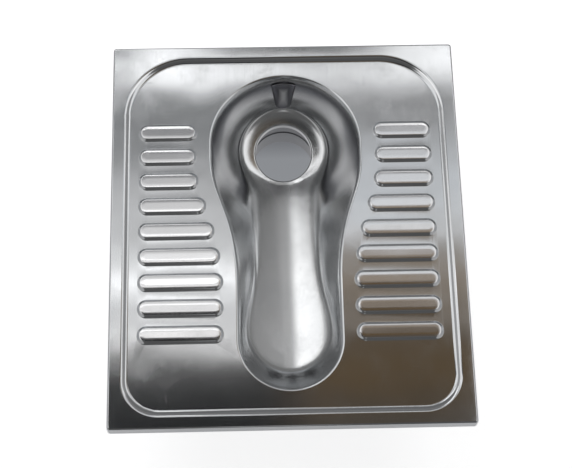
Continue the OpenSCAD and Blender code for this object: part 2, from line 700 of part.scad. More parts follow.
// Strap welded on the return flange, bent down past its edge, with a holed foot turned inwards
module anchor(side, y) color(DARK_STEEL) in_place() mirror([side < 0 ? 1 : 0, 0, 0]) difference() {
    translate([0, y + anchor_w / 2, 0]) rotate([90, 0, 0]) linear_extrude(anchor_w) polygon([
        [deck_w / 2 - fold_r, flange_top], [deck_w / 2 - fold_r, flange_top + anchor_t],
        [anchor_x - anchor_t, flange_top + anchor_t],
        [anchor_x - anchor_t, anchor_foot_z + anchor_t],
        [anchor_x - anchor_foot, anchor_foot_z + anchor_t],
        [anchor_x - anchor_foot, anchor_foot_z], [anchor_x, anchor_foot_z],
        [anchor_x, flange_top]
    ]);
    translate([anchor_hole_x, y, anchor_foot_z - cut])
        cylinder(r = anchor_hole_r, h = anchor_t + 2 * cut);
}
module anchor_front_left() anchor(-1, -anchor_span / 2);
module anchor_front_right() anchor(1, -anchor_span / 2);
module anchor_middle_left() anchor(-1, 0);
module anchor_middle_right() anchor(1, 0);
module anchor_rear_left() anchor(-1, anchor_span / 2);
module anchor_rear_right() anchor(1, anchor_span / 2);

// Flat tab on the rear return flange, with a hole for the earth cable's bolt
module earth_tag() color(STEEL) in_place() difference() {
    union() {
        translate([-earth_x - earth_tag_w / 2, deck_l / 2 - earth_reach, flange_top])
            cube([earth_tag_w, earth_reach - fold_r, earth_tag_t]);
        translate([-earth_x, deck_l / 2 - earth_reach, flange_top])
            cylinder(r = earth_tag_w / 2, h = earth_tag_t);
    }
    translate([-earth_x, deck_l / 2 - earth_reach, flange_top - cut])
        cylinder(r = earth_hole_r, h = earth_tag_t + 2 * cut);
}

deck_plate();
bowl();
flush_hood();
inlet_pipe();
inlet_sleeve();
inlet_clip();
inlet_clip_screw();
outlet_spigot();
outlet_seal();
stiffener_left();
stiffener_right();
tread_pad_left();
tread_pad_right();
bowl_pad();
anchor_front_left();
anchor_front_right();
anchor_middle_left();
anchor_middle_right();
anchor_rear_left();
anchor_rear_right();
earth_tag();
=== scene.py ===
"""Squat toilet: a pressed stainless floor pan with a welded bowl, its fittings, and the studio."""

import math

import bpy
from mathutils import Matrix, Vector, geometry


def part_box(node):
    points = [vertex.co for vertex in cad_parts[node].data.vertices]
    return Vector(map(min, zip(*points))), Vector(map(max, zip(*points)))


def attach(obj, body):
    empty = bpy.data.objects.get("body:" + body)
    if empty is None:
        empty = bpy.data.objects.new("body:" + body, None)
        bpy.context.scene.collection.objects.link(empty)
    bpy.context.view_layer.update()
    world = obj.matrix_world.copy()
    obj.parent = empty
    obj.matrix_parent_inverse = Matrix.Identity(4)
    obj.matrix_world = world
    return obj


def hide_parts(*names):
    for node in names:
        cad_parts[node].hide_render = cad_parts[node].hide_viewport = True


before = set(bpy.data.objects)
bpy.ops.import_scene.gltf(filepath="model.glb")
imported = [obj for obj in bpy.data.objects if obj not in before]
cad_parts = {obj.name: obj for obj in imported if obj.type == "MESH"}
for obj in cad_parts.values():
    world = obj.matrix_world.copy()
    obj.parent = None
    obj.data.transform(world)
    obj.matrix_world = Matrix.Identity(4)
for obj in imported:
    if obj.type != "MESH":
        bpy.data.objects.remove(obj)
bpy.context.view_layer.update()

# ---- Deck plate -----------------------------------------------------------------------------
# One pressing of satin stainless sheet: rim, shallow recess, nine ribs on each tread, the mouth's
# rolled lip, and a skirt folded down with a return flange that stands on the mortar.

# Sizes in millimetres, from the middle of the rim's top face; the part's own origin is on the
# outlet's axis at the spigot's lower end. MERGE is in metres: nearer points become one.
PLATE_WIDTH, PLATE_LENGTH, PLATE_CORNER = 520, 600, 4.5
OUTLET_Y, PLATE_TOP = 179, 195
SHEET = 1.2
SKIRT, FOLD_RADIUS, RETURN_FLANGE, RETURN_NOTCH = 22, 3, 12, 14
RIM, STEP_WIDTH, STEP_DROP = 17, 11.5, 4.5
REAR_CORNER, FRONT_CORNER = 98, 56
RIB_COUNT, RIB_PITCH, RIB_WIDTH, RIB_HEIGHT = 9, 39.8, 28.5, 3
RIB_CORNER, RIB_SHOULDER, RIB_SHIFT, RIB_OUTER_X, RIB_INNER_GAP = 13.8, 4.5, 2.5, 220, 17
RIB_CROWN, RIB_TOP_REACH = 0.25, 0.62
MOUTH_REAR_Y, MOUTH_LENGTH = 252.5, 500
LIP_RADIUS, LIP_ANGLE = 5, 60
TREAD_Z = -STEP_DROP
STATIONS, FOLD_STEPS, STEP_ROWS, RIB_ROWS = 150, 6, 14, 10
MERGE = 1e-6


def at(x, y, z):
    """A place in millimetres from the rim's middle, in the part's own frame in metres."""
    return (x / 1000, (y - OUTLET_Y) / 1000, (z + PLATE_TOP) / 1000)


def arc(radius, turn):
    """A round leg of a path: its length and its whole change of heading in degrees."""
    return (radius * math.radians(abs(turn)), turn)


def along(stance, leg, s):
    """The stance (x, y, heading) at a distance s along one leg."""
    x, y, heading = stance
    length, turn = leg
    if turn == 0:
        return (x + s * math.cos(heading), y + s * math.sin(heading), heading)
    radius = length / math.radians(turn)
    turned = heading + s / radius
    return (
        x + radius * (math.sin(turned) - math.sin(heading)),
        y - radius * (math.cos(turned) - math.cos(heading)),
        turned,
    )


def travel(path, start, s):
    """The stance at a distance s along a path."""
    stance = start
    for leg in path[:-1]:
        if s <= leg[0]:
            return along(stance, leg, s)
        stance = along(stance, leg, leg[0])
        s -= leg[0]
    return along(stance, path[-1], min(s, path[-1][0]))


def beside(stance, out):
    """A point beside a stance, outwards on a path that runs clockwise."""
    x, y, heading = stance
    return (x - out * math.sin(heading), y + out * math.cos(heading))


def path_length(path):
    return sum(leg[0] for leg in path)


def stances_by_leg(path, start, degrees_per_step=6):
    """Stances at the ends of the straight legs and every few degrees of the round ones."""
    found, stance = [start], start
    for leg in path:
        steps = 1 if leg[1] == 0 else max(2, math.ceil(abs(leg[1]) / degrees_per_step))
        found += [along(stance, leg, leg[0] * k / steps) for k in range(1, steps + 1)]
        stance = along(stance, leg, leg[0])
    return found


def mirrored_ring(half, out, z):
    """A closed ring beside the right half's stances and their mirror image."""
    right = [(*beside(stance, out), z) for stance in half]
    return right + [(-x, y, h) for x, y, h in reversed(right[1:-1])]


def ring(stances, out, z):
    return [(*beside(stance, out), z) for stance in stances]


def inside_polygon(x, y, polygon):
    inside = False
    for (x0, y0, *_), (x1, y1, *_) in zip(polygon, polygon[1:] + polygon[:1]):
        if (y0 > y) != (y1 > y) and x < x0 + (y - y0) * (x1 - x0) / (y1 - y0):
            inside = not inside
    return inside


def on_sheet(x, y, outer, holes):
    """True inside a ring, clear of its holes."""
    return inside_polygon(x, y, outer) and not any(inside_polygon(x, y, h) for h in holes)


def inner_grid(outer, holes, pitch):
    """Points on a triangular grid inside a ring, clear of its edge and its holes."""
    found = []
    low, high = min(p[1] for p in outer), max(p[1] for p in outer)
    reach = max(p[0] for p in outer)
    rows = math.ceil((high - low) / (pitch * 0.866))
    columns = math.ceil(reach / pitch)
    edge = [Vector(p[:2]) for loop in (outer, *holes) for p in loop]
    for j in range(rows):
        y = low + j * pitch * 0.866
        for i in range(-columns, columns + 1):
            x = (i + 0.5 * (j % 2)) * pitch
            if on_sheet(x, y, outer, holes):
                if min((p - Vector((x, y))).length_squared for p in edge) > (0.6 * pitch) ** 2:
                    found.append(Vector((x, y)))
    return found


class Sheet:
    """Points and faces of a sheet's outer skin, in millimetres from the rim's middle."""

    def __init__(self):
        self.points, self.faces = [], []

    def add(self, points):
        first = len(self.points)
        self.points += points
        return list(range(first, len(self.points)))

    def bridge(self, upper, lower, closed=True):
        """Quads between two rows of points; with clockwise rows, upper is the outer one."""
        count = len(upper) if closed else len(upper) - 1
        for i in range(count):
            j = (i + 1) % len(upper)
            self.faces.append((upper[i], lower[i], lower[j], upper[j]))

    def rows(self, rows, closed=True):
        rows = [self.add(row) for row in rows]
        for upper, lower in zip(rows, rows[1:]):
            self.bridge(upper, lower, closed)

    def flat(self, outer, holes, grid=0, height=None):
        """Fills a ring that has holes in it: level, or on a height with points on a grid."""
        loops = [outer, *holes]
        flat_points = [Vector(p[:2]) for loop in loops for p in loop]
        edges, first = [], 0
        for loop in loops:
            edges += [(first + i, first + (i + 1) % len(loop)) for i in range(len(loop))]
            first += len(loop)
        if grid:
            flat_points += inner_grid(outer, holes, grid)
        points, _, triangles, *_ = geometry.delaunay_2d_cdt(flat_points, edges, [], 0, 1e-6)
        level = height or (lambda x, y: (x, y, outer[0][2]))
        ids = self.add([tuple(level(p.x, p.y)) for p in points])
        for triangle in triangles:
            a, b, c = (points[i] for i in triangle)
            if on_sheet(*(a + b + c) / 3, outer, holes):
                turn = (b - a).cross(c - a)
                corners = [ids[i] for i in triangle]
                self.faces.append(tuple(corners if turn > 0 else reversed(corners)))

    def skin(self, name):
        """The outer skin as an object."""
        piece = new_piece(name, [at(*point) for point in self.points], faces=self.faces)
        start_editing(piece)
        bpy.ops.mesh.remove_doubles(threshold=MERGE)
        stop_editing()
        return piece


def placed(name, data):
    """A mesh or a camera put into the scene as an object."""
    piece = bpy.data.objects.new(name, data)
    bpy.context.collection.objects.link(piece)
    return piece


def new_piece(name, points, edges=(), faces=()):
    """An object with a mesh of points in metres."""
    mesh = bpy.data.meshes.new(name)
    mesh.from_pydata(points, edges, faces)
    return placed(name, mesh)


def select_only(piece):
    bpy.ops.object.select_all(action="DESELECT")
    piece.select_set(True)
    bpy.context.view_layer.objects.active = piece


def start_editing(piece):
    """Edit mode on one piece, with its whole mesh selected."""
    select_only(piece)
    bpy.ops.object.mode_set(mode="EDIT")
    bpy.ops.mesh.select_all(action="SELECT")


def stop_editing():
    bpy.ops.object.mode_set(mode="OBJECT")


def apply_modifier(piece, kind, **settings):
    select_only(piece)
    modifier = piece.modifiers.new(kind.lower(), kind)
    for name, value in settings.items():
        setattr(modifier, name, value)
    bpy.ops.object.modifier_apply(modifier=modifier.name)


def back_with_sheet(piece, thickness):
    """Adds the sheet's inner skin behind the outer one."""
    apply_modifier(piece, "SOLIDIFY", thickness=thickness / 1000, offset=-1)


def fit(piece, degrees, material, slot, *nodes):
    """Shades a finished piece smooth up to an angle, with the flats kept flat next to their
    folds, and gives it its material and its place on the part."""
    select_only(piece)
    bpy.ops.object.shade_smooth_by_angle(angle=math.radians(degrees))
    apply_modifier(piece, "WEIGHTED_NORMAL", keep_sharp=True, mode="FACE_AREA")
    piece.data.materials.clear()
    piece.data.materials.append(material)
    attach(piece, "root")
    if nodes:
        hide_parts(*nodes)


# The plate's outline, with breaks where the return flange is notched at the corners
half_width, half_length = PLATE_WIDTH / 2, PLATE_LENGTH / 2
notch_leg = RETURN_NOTCH - PLATE_CORNER
plate_path = [
    (half_width - RETURN_NOTCH, 0), (notch_leg, 0), arc(PLATE_CORNER, -90), (notch_leg, 0),
    (PLATE_LENGTH - 2 * RETURN_NOTCH, 0),
    (notch_leg, 0), arc(PLATE_CORNER, -90), (notch_leg, 0), (half_width - RETURN_NOTCH, 0),
]
plate_half = stances_by_leg(plate_path, (0, half_length, 0), 15)

recess_half_width = half_width - RIM
recess_length = PLATE_LENGTH - 2 * RIM
recess_path = [
    (recess_half_width - REAR_CORNER, 0), arc(REAR_CORNER, -90),
    (recess_length - REAR_CORNER - FRONT_CORNER, 0), arc(FRONT_CORNER, -90),
    (recess_half_width - FRONT_CORNER, 0),
]
recess_half = stances_by_leg(recess_path, (0, half_length - RIM, 0), 3)

# The mouth's outline: a round rear, a straight, the flank's and the waist's curves, a round front
MOUTH_REAR_RADIUS, MOUTH_FRONT_RADIUS, MOUTH_REAR_STRAIGHT = 115, 77.5, 19.5
FLANK_RADIUS, WAIST_RADIUS, WAIST_ANGLE = 180, 366, 18.5
waist_sin, waist_cos = math.sin(math.radians(WAIST_ANGLE)), math.cos(math.radians(WAIST_ANGLE))
mouth_taper = (
    MOUTH_REAR_RADIUS - MOUTH_FRONT_RADIUS - (FLANK_RADIUS + WAIST_RADIUS) * (1 - waist_cos)
) / waist_sin
mouth_side = (
    MOUTH_LENGTH - MOUTH_REAR_RADIUS - MOUTH_REAR_STRAIGHT - MOUTH_FRONT_RADIUS
    - (FLANK_RADIUS + WAIST_RADIUS) * waist_sin - mouth_taper * waist_cos
)
mouth_path = [
    arc(MOUTH_REAR_RADIUS, -90), (MOUTH_REAR_STRAIGHT, 0), arc(FLANK_RADIUS, -WAIST_ANGLE),
    (mouth_taper, 0), arc(WAIST_RADIUS, WAIST_ANGLE), (mouth_side, 0),
    arc(MOUTH_FRONT_RADIUS, -90),
]
mouth_start = (0, MOUTH_REAR_Y, 0)
mouth_half = [
    travel(mouth_path, mouth_start, path_length(mouth_path) * k / STATIONS)
    for k in range(STATIONS + 1)
]
mouth_ring = mirrored_ring(mouth_half, 0, TREAD_Z)


def rib_stances(y):
    """The outline of the right tread's rib at y: a rounded rectangle, clockwise."""
    widest = max(p[0] for p in mouth_ring if abs(p[1] - y) <= RIB_WIDTH / 2)
    inner = math.ceil(widest) + RIB_INNER_GAP
    legs = []
    for side in (RIB_OUTER_X - inner, RIB_WIDTH) * 2:
        legs += [(side - 2 * RIB_CORNER, 0), arc(RIB_CORNER, -90)]
    return stances_by_leg(legs, (inner + RIB_CORNER, y + RIB_WIDTH / 2, 0), 9)[:-1]


deck = Sheet()
fold = [math.radians(90 * k / FOLD_STEPS) for k in range(FOLD_STEPS + 1)]
skirt_rows = [mirrored_ring(plate_half, FOLD_RADIUS * (math.sin(a) - 1),
                            FOLD_RADIUS * (math.cos(a) - 1)) for a in fold]
skirt_rows += [mirrored_ring(plate_half, FOLD_RADIUS * (math.cos(a) - 1),
                             FOLD_RADIUS * (1 - math.sin(a)) - SKIRT) for a in fold]
deck.rows([row[::-1] for row in skirt_rows])
flange_foot = mirrored_ring(plate_half, -FOLD_RADIUS, -SKIRT)
flange_edge = mirrored_ring(plate_half, -RETURN_FLANGE, -SKIRT)
for i in range(len(flange_foot)):
    j = (i + 1) % len(flange_foot)
    if math.dist(flange_foot[i], flange_foot[j]) > 2 * RETURN_NOTCH:
        strip = deck.add([flange_foot[i], flange_foot[j], flange_edge[j], flange_edge[i]])
        deck.faces.append(tuple(strip))
deck.flat(mirrored_ring(plate_half, -FOLD_RADIUS, 0), [mirrored_ring(recess_half, 0, 0)])


def s_curve(steps):
    """Shares across a pressed step, and how far down it they lie."""
    return [(k / steps, (1 - math.cos(math.pi * k / steps)) / 2) for k in range(steps + 1)]


deck.rows([mirrored_ring(recess_half, -STEP_WIDTH * t, -STEP_DROP * fall)
           for t, fall in s_curve(STEP_ROWS)])
rib_outlines = []
for i in range(RIB_COUNT):
    right = rib_stances(((RIB_COUNT - 1) / 2 - i) * RIB_PITCH - RIB_SHIFT)
    rib_rows = [ring(right, -RIB_SHOULDER * t, TREAD_Z + RIB_HEIGHT * (rise + t) / 2)
                for t, rise in s_curve(RIB_ROWS)]
    top_half = RIB_WIDTH / 2 - RIB_SHOULDER
    rib_rows += [ring(right, -RIB_SHOULDER - top_half * t * RIB_TOP_REACH,
                      TREAD_Z + RIB_HEIGHT + RIB_CROWN * (1 - (1 - t) ** 2))
                 for t in (0.1, 0.25, 0.4, 0.55, 0.7, 0.85, 1)]
    left_rows = [[(-x, y, z) for x, y, z in reversed(row)] for row in rib_rows]
    for rows in (rib_rows, left_rows):
        deck.rows(rows)
        deck.faces.append(tuple(reversed(deck.add(rows[-1]))))
        rib_outlines.append(rows[0])
deck.flat(mirrored_ring(recess_half, -STEP_WIDTH, TREAD_Z), [mouth_ring, *rib_outlines])
lip_turns = [math.radians(a) for a in (*range(0, LIP_ANGLE, 6), LIP_ANGLE - 1, LIP_ANGLE)]
deck.rows([mirrored_ring(mouth_half, -LIP_RADIUS * math.sin(a),
                         TREAD_Z - LIP_RADIUS * (1 - math.cos(a))) for a in lip_turns])
plate = deck.skin("pressed_plate")
back_with_sheet(plate, SHEET)


# Its material is made of node groups: what satin stainless shows close up, built once and placed
# in each steel


def node_group(name, inputs, outputs):
    """An empty shader node group with its named sockets: (name, kind, default) and (name, kind)."""
    group = bpy.data.node_groups.new(name, "ShaderNodeTree")
    for label, kind, value in inputs:
        socket = group.interface.new_socket(label, in_out="INPUT", socket_type="NodeSocket" + kind)
        socket.default_value = value
    for label, kind in outputs:
        group.interface.new_socket(label, in_out="OUTPUT", socket_type="NodeSocket" + kind)
    return group, group.nodes.new("NodeGroupInput"), group.nodes.new("NodeGroupOutput")


def add_node(tree, kind, inputs=(), **settings):
    """A shader node with its settings, and each input set or linked; returns its outputs."""
    node = tree.nodes.new("ShaderNode" + kind)
    for name, value in settings.items():
        setattr(node, name, value)
    for key, value in dict(inputs).items():
        if isinstance(value, bpy.types.NodeSocket):
            tree.links.new(value, node.inputs[key])
        elif value is not None:
            node.inputs[key].default_value = value
    return node.outputs


def math_node(tree, operation, first, second=None, clamp=False):
    """A sum, product or the like of two sockets or numbers."""
    return add_node(tree, "Math", {0: first, 1: second}, operation=operation, use_clamp=clamp)[0]


def split(tree, vector):
    """The X, Y and Z of a vector."""
    return add_node(tree, "SeparateXYZ", {0: vector})


def length_of(tree, vector):
    return add_node(tree, "VectorMath", {0: vector}, operation="LENGTH")["Value"]


def stretched(tree, vector, scale):
    """The vector multiplied by a scale on each axis."""
    return add_node(tree, "VectorMath", {0: vector, 1: scale}, operation="MULTIPLY")[0]


def object_place(tree):
    """A piece's own coordinates."""
    return add_node(tree, "TexCoord")["Object"]


def noise(tree, vector, scale, detail=3, roughness=0.5):
    """A noise texture's value at a vector."""
    return add_node(tree, "TexNoise", {"Vector": vector, "Scale": scale, "Detail": detail,
                                       "Roughness": roughness})[0]


def remap(tree, value, low, high, to_low=0.0, to_high=1.0):
    """A value from low..high moved to to_low..to_high and clamped."""
    return add_node(tree, "MapRange", {0: value, 1: low, 2: high, 3: to_low, 4: to_high})[0]


# Grain: the fine parallel lines of the polishing belt, and the cloudiness of the sheet
grain, grain_in, grain_out = node_group(
    "polished_grain",
    [("Vector", "Vector", (0, 0, 0)), ("Direction", "Vector", (1200, 30, 1200))],
    [("Lines", "Float"), ("Cloud", "Float")],
)
lines_vector = stretched(grain, grain_in.outputs["Vector"], grain_in.outputs["Direction"])
grain.links.new(noise(grain, lines_vector, 1.0, 4, 0.65), grain_out.inputs["Lines"])
grain.links.new(noise(grain, grain_in.outputs["Vector"], 9.0, 3, 0.55), grain_out.inputs["Cloud"])

# Use marks: hairline scratches in two directions and dull smudges from cleaning and shoes
marks, marks_in, marks_out = node_group(
    "use_marks",
    [("Vector", "Vector", (0, 0, 0)), ("Amount", "Float", 0.5)],
    [("Scratches", "Float"), ("Smudge", "Float")],
)
hairlines = []
for direction in ((55, 6, 30), (7, 48, 30)):
    value = noise(marks, stretched(marks, marks_in.outputs["Vector"], direction), 1.0, 2, 0.4)
    away = math_node(marks, "ABSOLUTE", math_node(marks, "SUBTRACT", value, 0.5))
    hairlines.append(remap(marks, away, 0.0, 0.0022, 1.0, 0.0))
patches = remap(marks, noise(marks, marks_in.outputs["Vector"], 26.0, 2), 0.5, 0.66)
both_ways = math_node(marks, "MAXIMUM", *hairlines)
broken = math_node(marks, "MULTIPLY", both_ways, patches)
marks.links.new(math_node(marks, "MULTIPLY", broken, marks_in.outputs["Amount"]),
                marks_out.inputs["Scratches"])
smudge = remap(marks, noise(marks, marks_in.outputs["Vector"], 14.0, 5, 0.7), 0.48, 0.75)
marks.links.new(math_node(marks, "MULTIPLY", smudge, marks_in.outputs["Amount"]),
                marks_out.inputs["Smudge"])


def new_material(name):
    """A material with its shader and its object coordinates."""
    material = bpy.data.materials.new(name)
    material.use_nodes = True
    tree = material.node_tree
    return material, tree, tree.nodes["Principled BSDF"], object_place(tree)


def place_group(tree, group, vector, **values):
    """A node group on a vector; returns its outputs."""
    return add_node(tree, "Group", {"Vector": vector, **values}, node_tree=group)


def blend_colours(tree, amount, first, second):
    """Mixes two colours, each a socket or a tuple, by a value."""
    first, second = ((*c, 1) if isinstance(c, tuple) else c for c in (first, second))
    return add_node(tree, "Mix", {"Factor": amount, 6: first, 7: second}, data_type="RGBA")[2]


def bump(tree, shader, height, distance, below=None):
    """Relief of a depth in metres, on top of the one below it."""
    normal = add_node(tree, "Bump", {"Distance": distance, "Strength": 1.0, "Height": height,
                                     "Normal": below})[0]
    tree.links.new(normal, shader.inputs["Normal"])
    return normal


GRAIN_RELIEF, SMUDGE_DULLING, SCRATCH_DULLING = 0.0000015, 0.10, 0.15
GRAIN_POLISH, GRAIN_DULLING = 0.03, 0.04


def bare_metal(name, colour, dull_colour, direction, wear):
    """A metal shader with its grain and its use marks, and a tone that the grain clouds."""
    material, tree, shader, place = new_material(name)
    shader.inputs["Metallic"].default_value = 1.0
    lines = place_group(tree, grain, place, Direction=direction)
    used = place_group(tree, marks, place, Amount=wear)
    tone = blend_colours(tree, remap(tree, lines["Cloud"], 0.3, 0.7), colour, dull_colour)
    return material, tree, shader, place, lines, used, tone


def roughened(tree, lines, used, low, high):
    """Roughness that varies with the grain and is raised by the smudges."""
    return math_node(tree, "ADD", remap(tree, lines["Lines"], 0.25, 0.75, low, high),
                     math_node(tree, "MULTIPLY", used["Smudge"], SMUDGE_DULLING))


def grain_relief(tree, shader, lines, used, depth=1.0):
    """The grain's lines in relief, with the scratches cut into them."""
    height = math_node(tree, "SUBTRACT", lines["Lines"], used["Scratches"])
    return bump(tree, shader, height, GRAIN_RELIEF * depth)


def steel(name, colour, dull_colour, roughness, direction, wear, wave=0.0, rubbed=None,
          grain_depth=1.0):
    """Stainless steel: grain lines, cloudy tone, hairlines and smudges over a metal shader."""
    material, tree, shader, place, lines, used, tone = bare_metal(name, colour, dull_colour,
                                                                  direction, wear)
    worn = blend_colours(tree, used["Smudge"], tone, dull_colour)
    # Rib tops: wear, and a painted highlight, as a lighter steel blended in by height
    if rubbed:
        low, high = rubbed
        z = split(tree, place)["Z"]
        rib_tops = math_node(tree, "MULTIPLY", remap(tree, z, low - RUB_FADE_BELOW, low),
                             remap(tree, z, high, high + RUB_FADE_ABOVE, 1.0, 0.0))
        worn = blend_colours(tree, rib_tops, worn, RUBBED_STEEL)
    tree.links.new(worn, shader.inputs["Base Color"])
    rough = roughened(tree, lines, used, roughness - GRAIN_POLISH * grain_depth,
                      roughness + GRAIN_DULLING * grain_depth)
    scratched = math_node(tree, "MULTIPLY", used["Scratches"], SCRATCH_DULLING)
    tree.links.new(math_node(tree, "ADD", rough, scratched, clamp=True),
                   shader.inputs["Roughness"])
    surface = grain_relief(tree, shader, lines, used, grain_depth)
    if wave:
        bump(tree, shader, noise(tree, place, 6.0, 2, 0.4), wave, below=surface)
    return material


# The ribs' tops are rubbed by shoes and painted lighter than the sheet as a highlight; heights in
# metres
RUBBED_STEEL, RUB_BAND, RUB_FADE_BELOW, RUB_FADE_ABOVE = (0.72, 0.72, 0.73), 0.0004, 0.0006, 0.0002
rib_top = (PLATE_TOP + TREAD_Z + RIB_HEIGHT) / 1000
satin_sheet = steel("satin_sheet", (0.62, 0.63, 0.645), (0.56, 0.57, 0.58), 0.105,
                    (1300, 26, 1300), 0.5, wave=0.0010, rubbed=(rib_top, rib_top + RUB_BAND),
                    grain_depth=0.4)
fit(plate, 40, satin_sheet, "brushed_stainless", "deck_plate")

# ---- Bowl -----------------------------------------------------------------------------------
# A deep-drawn stainless shell, butt-welded to the mouth's lip and ground flush: the wall falls to
# a sloping floor, the floor to a tilted land, and the land's hole is turned down as the outlet.

WALL_HEAD, WALL_FOOT = 14, 0.6
FLOOR_FRONT_DEPTH, FLOOR_REAR_DEPTH, FLOOR_FRONT_Y = 62, 142, -199
FLOOR_FRONT_RADIUS, FLOOR_NECK, FLOOR_FLARE, FLOOR_DIP, FLOOR_BLEND = 57.5, 44.5, 112, 7, 1.5
NECK_ANGLE, NECK_RADIUS = 25, 40
OUTLET_RADIUS, OUTLET_LIP, COLLAR = 44.5, 3, 8
LAND_RADIUS, LAND_TILT, LAND_DISH, FOOT_RADIUS = 55, 12.5, 52, 70
DISH_START, DISH_RUN = 10, 50
LAND_FRONT_Y = OUTLET_Y - LAND_RADIUS
neck_sin, neck_cos = math.sin(math.radians(NECK_ANGLE)), math.cos(math.radians(NECK_ANGLE))
neck_run = (FOOT_RADIUS * neck_cos - FLOOR_NECK - NECK_RADIUS * (1 - neck_cos)) / neck_sin
flare_angle = 2 * math.degrees(math.atan((FLOOR_FRONT_RADIUS - FLOOR_NECK) / FLOOR_FLARE))
flare_radius = FLOOR_FLARE / (2 * math.sin(math.radians(flare_angle)))
floor_start = (0, OUTLET_Y + FOOT_RADIUS, 0)
floor_straight = (
    OUTLET_Y - (FOOT_RADIUS + NECK_RADIUS) * neck_sin - neck_run * neck_cos
    - FLOOR_FLARE - FLOOR_FRONT_RADIUS - FLOOR_FRONT_Y
)
floor_path = [
    arc(FOOT_RADIUS, -90 - NECK_ANGLE), (neck_run, 0), arc(NECK_RADIUS, NECK_ANGLE),
    (floor_straight, 0), arc(flare_radius, flare_angle), arc(flare_radius, -flare_angle),
    arc(FLOOR_FRONT_RADIUS, -90),
]
land_slope = math.tan(math.radians(LAND_TILT))
outlet_front_y = OUTLET_Y - OUTLET_RADIUS - OUTLET_LIP
floor_slope = ((FLOOR_REAR_DEPTH - FLOOR_FRONT_DEPTH - (outlet_front_y - LAND_FRONT_Y) * land_slope)
               / (outlet_front_y - FLOOR_FRONT_Y))
lip_end_z = TREAD_Z - LIP_RADIUS * (1 - math.cos(math.radians(LIP_ANGLE)))
lip_sin, lip_cos = math.sin(math.radians(LIP_ANGLE)), math.cos(math.radians(LIP_ANGLE))


def on_floor(x, y):
    """A point of the floor: it slopes back, dips along its middle and meets the tilted land."""
    land = -FLOOR_REAR_DEPTH + (y - LAND_FRONT_Y) * land_slope
    channel = (-FLOOR_FRONT_DEPTH - (y - FLOOR_FRONT_Y) * floor_slope
               + FLOOR_DIP * (x / FLOOR_NECK) ** 2)
    height = (land + channel + math.hypot(land - channel, FLOOR_BLEND)) / 2
    # Behind and beside the outlet the land is a dish that rises towards the wall
    past_lip = max(0, math.hypot(x, y - OUTLET_Y) - OUTLET_RADIUS - OUTLET_LIP)
    share = min(1, max(0, (y - LAND_FRONT_Y - DISH_START) / DISH_RUN))
    height += past_lip ** 2 / (2 * LAND_DISH) * share * share * (3 - 2 * share)
    return Vector((x, y, height))


def wall_point(share, v, gap=0.0):
    """A point of the wall at a share of the way round and a share of the way down."""
    mouth = travel(mouth_path, mouth_start, share * path_length(mouth_path))
    foot_stance = travel(floor_path, floor_start, share * path_length(floor_path))
    top = Vector((*beside(mouth, -LIP_RADIUS * lip_sin - gap * lip_cos), lip_end_z - gap * lip_sin))
    head = Vector((lip_cos * math.sin(mouth[2]), -lip_cos * math.cos(mouth[2]), -lip_sin))
    foot = on_floor(*foot_stance[:2])
    inner = on_floor(*beside(foot_stance, -1))
    run = (foot - top).xy.length
    above = top + WALL_HEAD * head
    below = foot - WALL_FOOT * run * (inner - foot).normalized()
    return ((1 - v) ** 3 * top + 3 * v * (1 - v) ** 2 * above
            + 3 * v * v * (1 - v) * below + v ** 3 * foot)


def bowl_row(point):
    """A row of the bowl's points round both halves."""
    right = [tuple(point(k / STATIONS)) for k in range(STATIONS + 1)]
    return right + [(-x, y, z) for x, y, z in reversed(right[1:-1])]


def outlet_row(radius, fall):
    """A ring of the outlet's turned-down edge, clockwise seen from above."""
    turns = [2 * math.pi * k / OUTLET_STEPS for k in range(OUTLET_STEPS)]
    edge = [(math.sin(a), math.cos(a)) for a in turns]
    rim = OUTLET_RADIUS + OUTLET_LIP
    return [(radius * x, OUTLET_Y + radius * y, on_floor(rim * x, OUTLET_Y + rim * y).z - fall)
            for x, y in edge]


WALL_ROWS, FLOOR_GRID, EDGE_ROWS, OUTLET_STEPS, EASING = 34, 3.5, 6, 120, 110
bowl_rows = [bowl_row(lambda share, v=v: wall_point(share, v))
             for v in [(1 - math.cos(math.pi * j / WALL_ROWS)) / 2 for j in range(WALL_ROWS + 1)]]
outlet_turns = [math.pi / 2 * j / EDGE_ROWS for j in range(EDGE_ROWS + 1)]
outlet_rows = [outlet_row(OUTLET_RADIUS + OUTLET_LIP * (1 - math.sin(a)),
                          OUTLET_LIP * (1 - math.cos(a))) for a in outlet_turns]
outlet_rows += [outlet_row(OUTLET_RADIUS, OUTLET_LIP + COLLAR)]
shell = Sheet()
shell.rows(bowl_rows)
shell.flat(bowl_rows[-1], [outlet_rows[0]], FLOOR_GRID, on_floor)
shell.rows(outlet_rows)
bowl = shell.skin("drawn_bowl")

# Drawing leaves soft bends: the wall's foot and the land are eased, while the lip's end, the
# outlet's edge and the middle of the floor stay where they are.
LIP_KEPT, LIP_FADE, EDGE_FADE, FOOT_FADE = 6, 14, 5, 24
floor_ring = [Vector(p[:2]) for p in bowl_rows[-1]]
eased = bowl.vertex_groups.new(name="eased")
for vertex in bowl.data.vertices:
    x, y, z = (vertex.co.x * 1000, vertex.co.y * 1000 + OUTLET_Y, vertex.co.z * 1000 - PLATE_TOP)
    from_outlet = math.hypot(x, y - OUTLET_Y) - OUTLET_RADIUS - OUTLET_LIP
    from_lip = lip_end_z - z
    from_foot = min((ring_point - Vector((x, y))).length for ring_point in floor_ring)
    weight = min(1, max(0, from_lip - LIP_KEPT) / LIP_FADE)
    if inside_polygon(x, y, bowl_rows[-1]):
        weight = min(max(0, from_outlet) / EDGE_FADE, max(0, 1 - from_foot / FOOT_FADE), 1)
    eased.add([vertex.index], weight, "REPLACE")
apply_modifier(bowl, "SMOOTH", factor=0.5, iterations=EASING, vertex_group="eased")
back_with_sheet(bowl, SHEET)

# The hole for the inlet pipe, cut through the rear wall; welded pieces lie a seat's width apart
INLET_RADIUS, INLET_DEPTH, SEAT = 16, 50, 0.1


